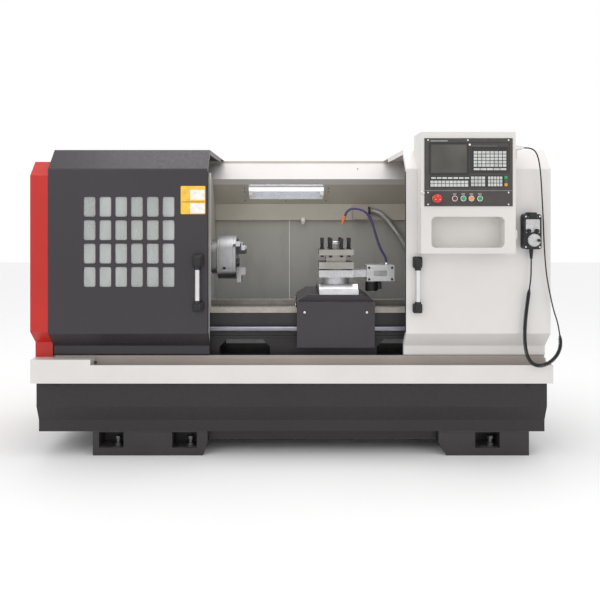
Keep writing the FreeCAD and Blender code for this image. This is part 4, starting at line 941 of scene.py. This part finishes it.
pendant = {"x0": 1189, "x1": 1278, "z0": 1099, "z1": 1279, "faceD": -60, "wheelX": 1237, "wheelZ": 1146,
           "wheelFaceD": -76.4, "markD": -76.55, "marks": 50, "ribs": 15, "ribPitch": 9.2, "reliefRibs": 7,
           "reliefPitch": 5.6}
scaleProfile = [(0.0345, 0.0), (0.041, 0.0), (0.041, 0.0006), (0.0345, 0.0006)]
knobProfile = [(0.0062, 0.0), (0.0074, 0.002), (0.0078, 0.01), (0.0066, 0.018), (0.004, 0.0205), (0.0, 0.021)]
lampProfile = [(0.004, 0.0), (0.004, 0.0015), (0.0025, 0.003), (0.0, 0.0034)]


def wheelMarks(bm):
    # short and long division marks round the wheel's rim
    for k in range(pendant["marks"]):
        a = 2 * math.pi * k / pendant["marks"]
        inner, outer = (26.5 if k % 5 == 0 else 28.5) * mm, 31.5 * mm
        c = place(pendant["wheelX"], pendant["markD"], pendant["wheelZ"])
        out = Vector((math.cos(a), 0, math.sin(a)))
        side = Vector((-math.sin(a), 0, math.cos(a))) * 0.0003
        outline = [c + out * inner - side, c + out * outer - side, c + out * outer + side, c + out * inner + side]
        addPrism(bm, outline, Vector((0, -0.0002, 0)))


def pendantDetails():
    p = pendant
    face, wheelX, wheelZ = p["faceD"], p["wheelX"], p["wheelZ"]
    plate("pendantPlate", "silverCast", "right_door", "chrome", [(1198, 1269, 1182, 1252)], face, 0.4, 4)
    build("wheelScale", "screwBlack", "right_door", "pendant_black",
          turned(scaleProfile, (wheelX, face, wheelZ), toFront, 56))
    build("wheelMarks", "screwBlack", "handwheel", "chrome", wheelMarks)
    build("wheelKnob", "blackPlastic", "handwheel", "pendant_black",
          turned(knobProfile, (wheelX + 20, p["wheelFaceD"], wheelZ), toFront, 28))
    ribs = []           # down both sides
    for i in range(p["ribs"]):
        z = p["z0"] + 22 + i * p["ribPitch"]
        for x, left, right in ((p["x0"], 1.6, 0.2), (p["x1"], 0.2, 1.6)):
            ribs.append(block((x - left, -46, z), (x + right, -14, z + 4), 0.0008))
    build("pendantRibs", "rubber", "right_door", "pendant_black", *ribs)
    relief = []         # bending ribs of the strain relief
    for i in range(p["reliefRibs"]):
        inner, outer = 0.0085 - i * 0.0004, 0.0108 - i * 0.0006
        profile = [(inner, 0.0), (outer, 0.0008), (outer, 0.0034), (inner, 0.0042)]
        relief.append(turned(profile, (1235, -30, 1090 - i * p["reliefPitch"]), downward, 24))
    build("reliefRibs", "rubber", "right_door", "pendant_black", *relief)
    points = [place(x, face, z) for x in (p["x0"] + 9, p["x1"] - 9) for z in (p["z0"] + 12, p["z1"] - 12)]
    screws("pendantScrews", smallScrew, points, faceFront, "chrome", "right_door", "chrome")
    # the hook on the door that the pendant hangs from
    build("pendantHook", "blackPlastic", "right_door", "pendant_black",
          block((1214, -66, 1262), (1253, -60, 1288), 0.002, 3), block((1214, -62, 1282), (1253, 0, 1288), 0.002, 3))
    lamps = [place(x, -60.2, 1264) for x in (1210, 1257)]
    screws("pendantLamps", turnedTemplate("pendantLampShape", lampProfile, 18), lamps, faceFront, "lampDeepGreen",
           "right_door", "push_green")


pendantDetails()
print("pendant made")


# ---- in the doorway: canopy, lamp, hoses ----

lampPlane = {"frontD": 740, "frontZ": 1495, "kneeD": 880, "kneeZ": 1341, "normal": Vector((0, -154, -140)).normalized()}
lampScrews = [(-299, 1362), (-37, 1362), (220, 1362), (-299, 1440), (-299, 1418), (232, 1440), (232, 1418)]
conduit = {"radius": 0.02, "pitch": 0.0085, "groove": 0.0026, "depth": 857,
           "route": [(486, 1297), (544, 1297), (602, 1250), (660, 1174), (714, 1096), (764, 1010), (793, 908),
                     (793, 800)]}
hose = {"radius": 0.0078, "pitch": 0.0105, "groove": 0.0026, "depth": 300,
        "route": [(532, 996), (532, 1028), (506, 1068), (487, 1114), (471, 1164), (456, 1217), (440, 1261),
                  (412, 1294), (372, 1310), (330, 1310), (305, 1288), (296, 1262)]}
canopyGland = [(0.0, 0.0), (0.011, 0.0), (0.012, 0.002), (0.012, 0.012), (0.015, 0.014), (0.015, 0.026),
               (0.012, 0.029), (0.0095, 0.04), (0.0, 0.041)]
lampCap = [(0.0, 0.0), (0.0165, 0.0), (0.0165, 0.022), (0.0, 0.022)]
nozzle = [(0.0, -0.004), (0.0085, -0.004), (0.0095, 0.0), (0.0095, 0.008), (0.008, 0.011), (0.0072, 0.018),
          (0.0042, 0.04), (0.0042, 0.044), (0.0028, 0.044), (0.0028, 0.03), (0.0, 0.03)]
conduitGland = [(0.0, 0.0), (0.026, 0.0), (0.026, 0.012), (0.023, 0.016), (0.0, 0.016)]
hoseFoot = [(0.0, -0.001), (0.011, -0.001), (0.011, 0.007), (0.0092, 0.01), (0.0, 0.01)]


def onLampPlane(x, z, out=0.0):
    # a point on the sloping panel that holds the lamp
    p = lampPlane
    share = (p["frontZ"] - z) / (p["frontZ"] - p["kneeZ"])
    return place(x, p["frontD"] + (p["kneeD"] - p["frontD"]) * share, z) + p["normal"] * out


def canopyPieces():
    screws("lampScrews", smallScrew, [onLampPlane(x, z) for x, z in lampScrews], turnTo(lampPlane["normal"]),
           "darkSteel", "machine_frame", "bright_steel")
    screws("canopyScrews", smallScrew, [place(420, 838, 1562) + Vector((0, -0.002, 0.0023))],
           turnTo((0, -117, 171)), "darkSteel", "machine_frame", "bright_steel")
    # white gland on the canopy's lip, its short neck pointing down
    build("canopyGland", "signWhite", "machine_frame", "lamp_white", turned(canopyGland, (73, 868, 1253), downward, 28),
          block((66, 868, 1228), (80, 880.5, 1248), 0.002))
    middle = onLampPlane(-34.5, 1418, 0.024)

    def caps(bm):
        # the lamp tube's end sockets
        for way in (-1, 1):
            addTurned(bm, lampCap, middle + Vector((way * 0.212, 0, 0)), (way, 0, 0), 28)
    build("lampCaps", "signWhite", "machine_frame", "lamp_metal", caps)


def tube(name, tree, settings, finish, body, slot, node):
    values = {"Radius": settings["radius"], "Pitch": settings["pitch"], "Depth": settings["groove"],
              "Finish": finishes[finish]}
    data = splineCurve(name + "Line", [(x, settings["depth"], z) for x, z in settings["route"]], 16)
    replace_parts(bakeTree(name, tree, data, values, body, slot), node)


def tubes():
    tube("ribbedConduit", "ribbed", conduit, "conduitSteel", "machine_frame", "conduit_metal", "wiring_conduit")
    tube("segmentedHose", "segmented", hose, "hosePurple", "cross_carriage", "hose_purple", "coolant_hose")
    (x0, z0), (x1, z1) = hose["route"][-2:]
    build("hoseNozzle", "nozzleOrange", "cross_carriage", "hose_purple",
          turned(nozzle, (x1, hose["depth"], z1), (x1 - x0, 0, z1 - z0), 24))
    (startX, startZ), (endX, endZ) = conduit["route"][0], conduit["route"][-1]
    build("conduitGlands", "darkSteel", "machine_frame", "conduit_metal",
          turned(conduitGland, (startX, conduit["depth"], startZ), toRight, 6),
          turned(conduitGland, (endX, conduit["depth"], endZ), upward, 6))
    footX, footZ = hose["route"][0]
    build("hoseFoot", "chrome", "cross_carriage", "hose_purple",
          turned(hoseFoot, (footX, hose["depth"], footZ), upward, 6))


canopyPieces()
tubes()
print("canopy, lamp and hoses made")


# ---- spindle, chuck and carriage ----

chuck = {"axisD": 361, "axisZ": 1035, "faceX": -310.2, "lineXs": (-404, -327), "flangeX": -451, "flangeRadius": 82,
         "screwAngles": (117, 237, 357), "screwSpots": ((92, 0), (68, 13), (68, -13))}
jaws = {"angles": {"first_jaw": 57, "second_jaw": 177, "third_jaw": 297}, "screwX": -0.2856, "screwRadii": (116, 134),
        "teeth": 9, "firstTooth": -0.2845, "pitch": 0.0026, "toothRadius": 0.0598, "halfWidth": 0.0150,
        "toothDepth": 0.0011}
chuckLine = [(0.124, 0.0), (0.1253, 0.0), (0.1253, 0.0016), (0.124, 0.0016)]
chuckRing = [(0.0335, 0.0), (0.048, 0.0), (0.048, 0.0014), (0.046, 0.003), (0.0355, 0.003), (0.0335, 0.0014)]
flangeBolt = [(0.0, 0.0), (0.0105, 0.0), (0.0105, 0.006), (0.009, 0.0075), (0.0, 0.0075)]
hubCap = [(0.0, 0.0), (0.03, 0.0), (0.03, 0.002), (0.024, 0.004), (0.024, 0.011), (0.021, 0.014), (0.0, 0.0145)]
clampWasher = [(0.0122, 0.0), (0.0138, 0.0), (0.0138, 0.0022), (0.0122, 0.0022)]
jawScrew = screwTemplate("jawScrew", 0.0078, 0.004, 0.004)


def roundSpindle(x, radius, degrees):
    # a spot at an angle round the spindle's axis
    a = math.radians(degrees)
    return x, chuck["axisD"] - radius * math.sin(a), chuck["axisZ"] + radius * math.cos(a)


def jawDetails(body, degrees):
    a = math.radians(degrees)
    out, across = Vector((0, -math.sin(a), math.cos(a))), Vector((0, math.cos(a), math.sin(a)))
    base = place(0, chuck["axisD"], chuck["axisZ"])
    points = [base + Vector((jaws["screwX"], 0, 0)) + out * (r * mm) for r in jaws["screwRadii"]]
    screws(body + "Screws", jawScrew, points, faceRight, "screwBlack", body, "tool_steel")

    def teeth(bm):
        # serrations down the inner face of the jaw's step
        depth, low = jaws["toothDepth"], across * jaws["halfWidth"]
        for i in range(jaws["teeth"]):
            x = jaws["firstTooth"] + i * jaws["pitch"]
            start = base + Vector((x, 0, 0)) + out * jaws["toothRadius"] - low
            outline = [start, start + out * -depth + Vector((depth, 0, 0)), start + Vector((2 * depth, 0, 0))]
            addPrism(bm, outline, low * 2)
    build(body + "Teeth", "turnedSteel", body, "tool_steel", teeth)


def chuckDetails():
    # dark rim lines and the raised ring on the chuck's face
    centre = chuck["axisD"], chuck["axisZ"]
    build("chuckLines", "darkSteel", "spindle_line", "tool_steel",
          *[turned(chuckLine, (x, *centre), toRight, 96) for x in chuck["lineXs"]])
    build("chuckRing", "turnedSteel", "spindle_line", "tool_steel",
          turned(chuckRing, (chuck["faceX"], *centre), toRight, 64))
    points = [place(*roundSpindle(chuck["faceX"], radius, a + spread))
              for a in chuck["screwAngles"] for radius, spread in chuck["screwSpots"]]
    screws("chuckScrews", boltHead, points, faceRight, "screwBlack", "spindle_line", "tool_steel")
    for body, degrees in jaws["angles"].items():
        jawDetails(body, degrees)
    spots = [roundSpindle(chuck["flangeX"], chuck["flangeRadius"], 30 + 60 * k) for k in range(6)]
    build("flangeBolts", "screwBlack", "spindle_line", "tool_steel",
          *[turned(flangeBolt, spot, toLeft, 6) for spot in spots])


def carriageDetails():
    screws("apronScrews", capScrew, [place(x, 114, 752) for x in (69, 403)], faceFront, "chrome", "carriage",
           "bright_steel")
    # felt and rubber wipers at both ends of the saddle, over each way
    build("wayWipers", "rubber", "carriage", "slide_grey",
          *[block((x0, d0, 772.6), (x1, d1, 792), 0.001)
            for x0, x1 in ((22, 28), (445, 451)) for d0, d1 in ((163, 242), (486, 566))])
    for name, x, turn in (("leftWiperScrews", 21.9, faceLeft), ("rightWiperScrews", 451.1, faceRight)):
        points = [place(x, d, 783) for d in (180, 225, 503, 548)]
        screws(name, smallScrew, points, turn, "chrome", "carriage", "bright_steel")

    def fold(bm):
        # bright folded cover over the front of the cross slide's way
        outline = [place(156, d, z) for d, z in ((164.5, 840.4), (164.5, 868), (190, 868), (190, 840.4))]
        addPrism(bm, outline, Vector((0.201, 0, 0)))
    build("slideCover", "brightSteel", "cross_carriage", "slide_grey", fold,
          block((150, 160.5, 840.4), (363, 164.5, 872), 0.0015))
    # gib strips with their adjusting screws along the cross slide's sides
    build("slideGibs", "darkSteel", "cross_carriage", "slide_grey",
          *[block((x0, 200, 846), (x1, 560, 862), 0.0008) for x0, x1 in ((146.5, 150.2), (362.8, 366.5))])
    screws("gibScrews", smallScrew, [place(146.4, d, 854) for d in range(230, 560, 75)], faceLeft, "screwBlack",
           "cross_carriage", "handle_black")
    # finned sleeve of the turret's small motor
    profile = [(0.0, 0.0), (0.031, 0.0), (0.0345, 0.004)]
    for i in range(6):
        profile += [(0.0345, 0.008 + i * 0.007), (0.0365, 0.0085 + i * 0.007), (0.0365, 0.0115 + i * 0.007),
                    (0.0345, 0.012 + i * 0.007)]
    profile += [(0.0345, 0.054), (0.0, 0.054)]
    build("turretMotor", "blackPlastic", "cross_carriage", "drive_silver", turned(profile, (446, 275, 849), upward, 48),
          block((478, 255, 862), (500, 295, 900), 0.003, 3))
    points = [place(x, 215, z) for x in (426, 552) for z in (920, 983)]
    screws("driveScrews", capScrew, points, faceFront, "screwBlack", "cross_carriage", "handle_black")
    plate("drivePlate", "labelGrey", "cross_carriage", "drive_silver", [(452, 524, 938, 968)], 215, 0.8, 3)
    x, d = 245, 297     # the turret's axis
    build("hubCap", "brightSteel", "tool_turret", "tool_steel", turned(hubCap, (x, d, 1112), upward, 48))
    spots = [(x + sx * a, d + sd * b, 1083) for a, b in ((75, 30), (30, 75)) for sx in (1, -1) for sd in (1, -1)]
    build("clampWashers", "darkSteel", "tool_turret", "tool_steel",
          *[turned(clampWasher, spot, upward, 24) for spot in spots])


chuckDetails()
carriageDetails()
print("chuck and carriage details made")


# ---- frame, base and tray ----

trayPlug = [(0.0, 0.0), (0.009, 0.0), (0.009, 0.003), (0.006, 0.003), (0.006, 0.001), (0.0, 0.001)]
levellingWasher = [(0.0126, 0.0), (0.026, 0.0), (0.026, 0.003), (0.0126, 0.003)]
motorFan = [(0.118, 0.0), (0.118, 0.014), (0.108, 0.026), (0.05, 0.03), (0.0, 0.03), (0.0, 0.0)]
pumpCap = [(0.0, 0.0), (0.041, 0.0), (0.042, 0.004), (0.042, 0.03), (0.036, 0.04), (0.0, 0.042)]
rearMotor = {"x": -1215, "fanX": -878.5, "axis": (780, 690), "root": 0.1155, "tip": 0.122, "fins": 22, "pitch": 0.0135}
louvres = {"doorLouvres": (620, 9), "upperLouvres": (1340, 5)}      # lowest height and rows


def weld(x0, x1):
    # bead where a foot meets the stand
    length = (x1 - x0) * mm
    return turned([(0.0, 0.0), (0.003, 0.002), (0.003, length - 0.002), (0.0, length)], (x0, 68, 129), toRight, 10)


def baseDetails():
    points = [place(x, 30, 386) for x in (-1241, -620, 2, 622, 1244)]
    screws("standBolts", boltHead, points, faceFront, "footBlack", "machine_frame", "stand_black")
    build("trayPlug", "screwBlack", "machine_frame", "tray_white", turned(trayPlug, (-1020, 0, 508), toFront, 24))
    build("footWelds", "footBlack", "machine_frame", "foot_black", weld(-1054, -446), weld(778, 1257))
    # steel washers under the levelling nuts
    build("levellingWashers", "darkSteel", "machine_frame", "bright_steel",
          *[turned(levellingWasher, (x, d, 40), upward, 28) for x in (-929, -541, 1064) for d in (120, 880)])


def coverDetails():
    # seams, screws and grip of the red end cover
    points = [place(-1360, d, z) for d, low in ((60, 700), (840, 800)) for z in (low, 1020, 1340)]
    screws("coverScrews", boltHead, points, faceLeft, "screwBlack", "machine_frame", "bright_steel")
    build("coverSeams", "redPaint", "machine_frame", "cover_red",
          block((-1361.2, 30, 1360), (-1359.8, 870, 1363)), block((-1361.2, 100, 560), (-1359.8, 870, 563)))
    build("coverGrip", "blackPlastic", "machine_frame", "handle_black",
          block((-1364, 380, 1180), (-1359.5, 520, 1240), 0.002, 3))


def rearDetails():
    m = rearMotor
    profile = [(m["root"], 0.0)]
    for i in range(m["fins"]):
        along = i * m["pitch"]
        profile += [(m["root"], 0.004 + along), (m["tip"], 0.005 + along), (m["tip"], 0.008 + along),
                    (m["root"], 0.009 + along)]
    profile += [(m["root"], 0.31), (0.1, 0.31), (0.1, 0.0), profile[0]]
    build("motorFins", "motorPaint", "machine_frame", "motor_grey", turned(profile, (m["x"], *m["axis"]), toRight, 72))
    build("motorFan", "motorPaint", "machine_frame", "motor_grey",
          turned(motorFan, (m["fanX"], *m["axis"]), toRight, 64))
    build("pumpCap", "blackPlastic", "machine_frame", "motor_grey", turned(pumpCap, (-500, 952, 731), upward, 40),
          block((-522, 990, 640), (-478, 996, 700), 0.003, 3))
    points = [place(x, 908, z) for x in (-1240, -760, -30, 10, 240, 1240, 1330) for z in (560, 1000, 1440)]
    screws("rearBolts", boltHead, points, faceRear, "brightSteel", "machine_frame", "bright_steel")
    build("cabinetHandle", "blackPlastic", "rear_cabinet_door", "handle_black",
          block((330, 1150, 960), (362, 1156, 1100), 0.004, 3), block((338, 1155, 1000), (354, 1168, 1088), 0.004, 3),
          turned([(0.0, 0.0), (0.01, 0.0), (0.01, 0.004), (0.0, 0.004)], (346, 1155, 980), toRear, 24))

    def louvre(bm):
        # one pressed louvre, facing the rear
        outline = [Vector((-0.06, 0.0, 0.0)), Vector((-0.06, 0.006, 0.002)), Vector((-0.06, 0.0, 0.012))]
        addPrism(bm, outline, Vector((0.12, 0, 0)))
    template = templateFrom("doorLouvre", louvre)
    for name, (low, rows) in louvres.items():
        points = [place(x, 1150, low + i * 22) for x in (560, 940) for i in range(rows)]
        screws(name, template, points, unturned, "boxWhite", "rear_cabinet_door", "box_white")
    build("cabinetSeal", "rubber", "machine_frame", "handle_black",
          block((303, 1131.5, 563), (1197, 1132.4, 566)), block((303, 1131.5, 1494), (1197, 1132.4, 1497)),
          block((303, 1131.5, 563), (306, 1132.4, 1497)))


baseDetails()
coverDetails()
rearDetails()
print("base, cover and rear details made")


# ---- ending ----

for template in templates:
    mesh = template.data
    bpy.data.objects.remove(template)
    bpy.data.meshes.remove(mesh)
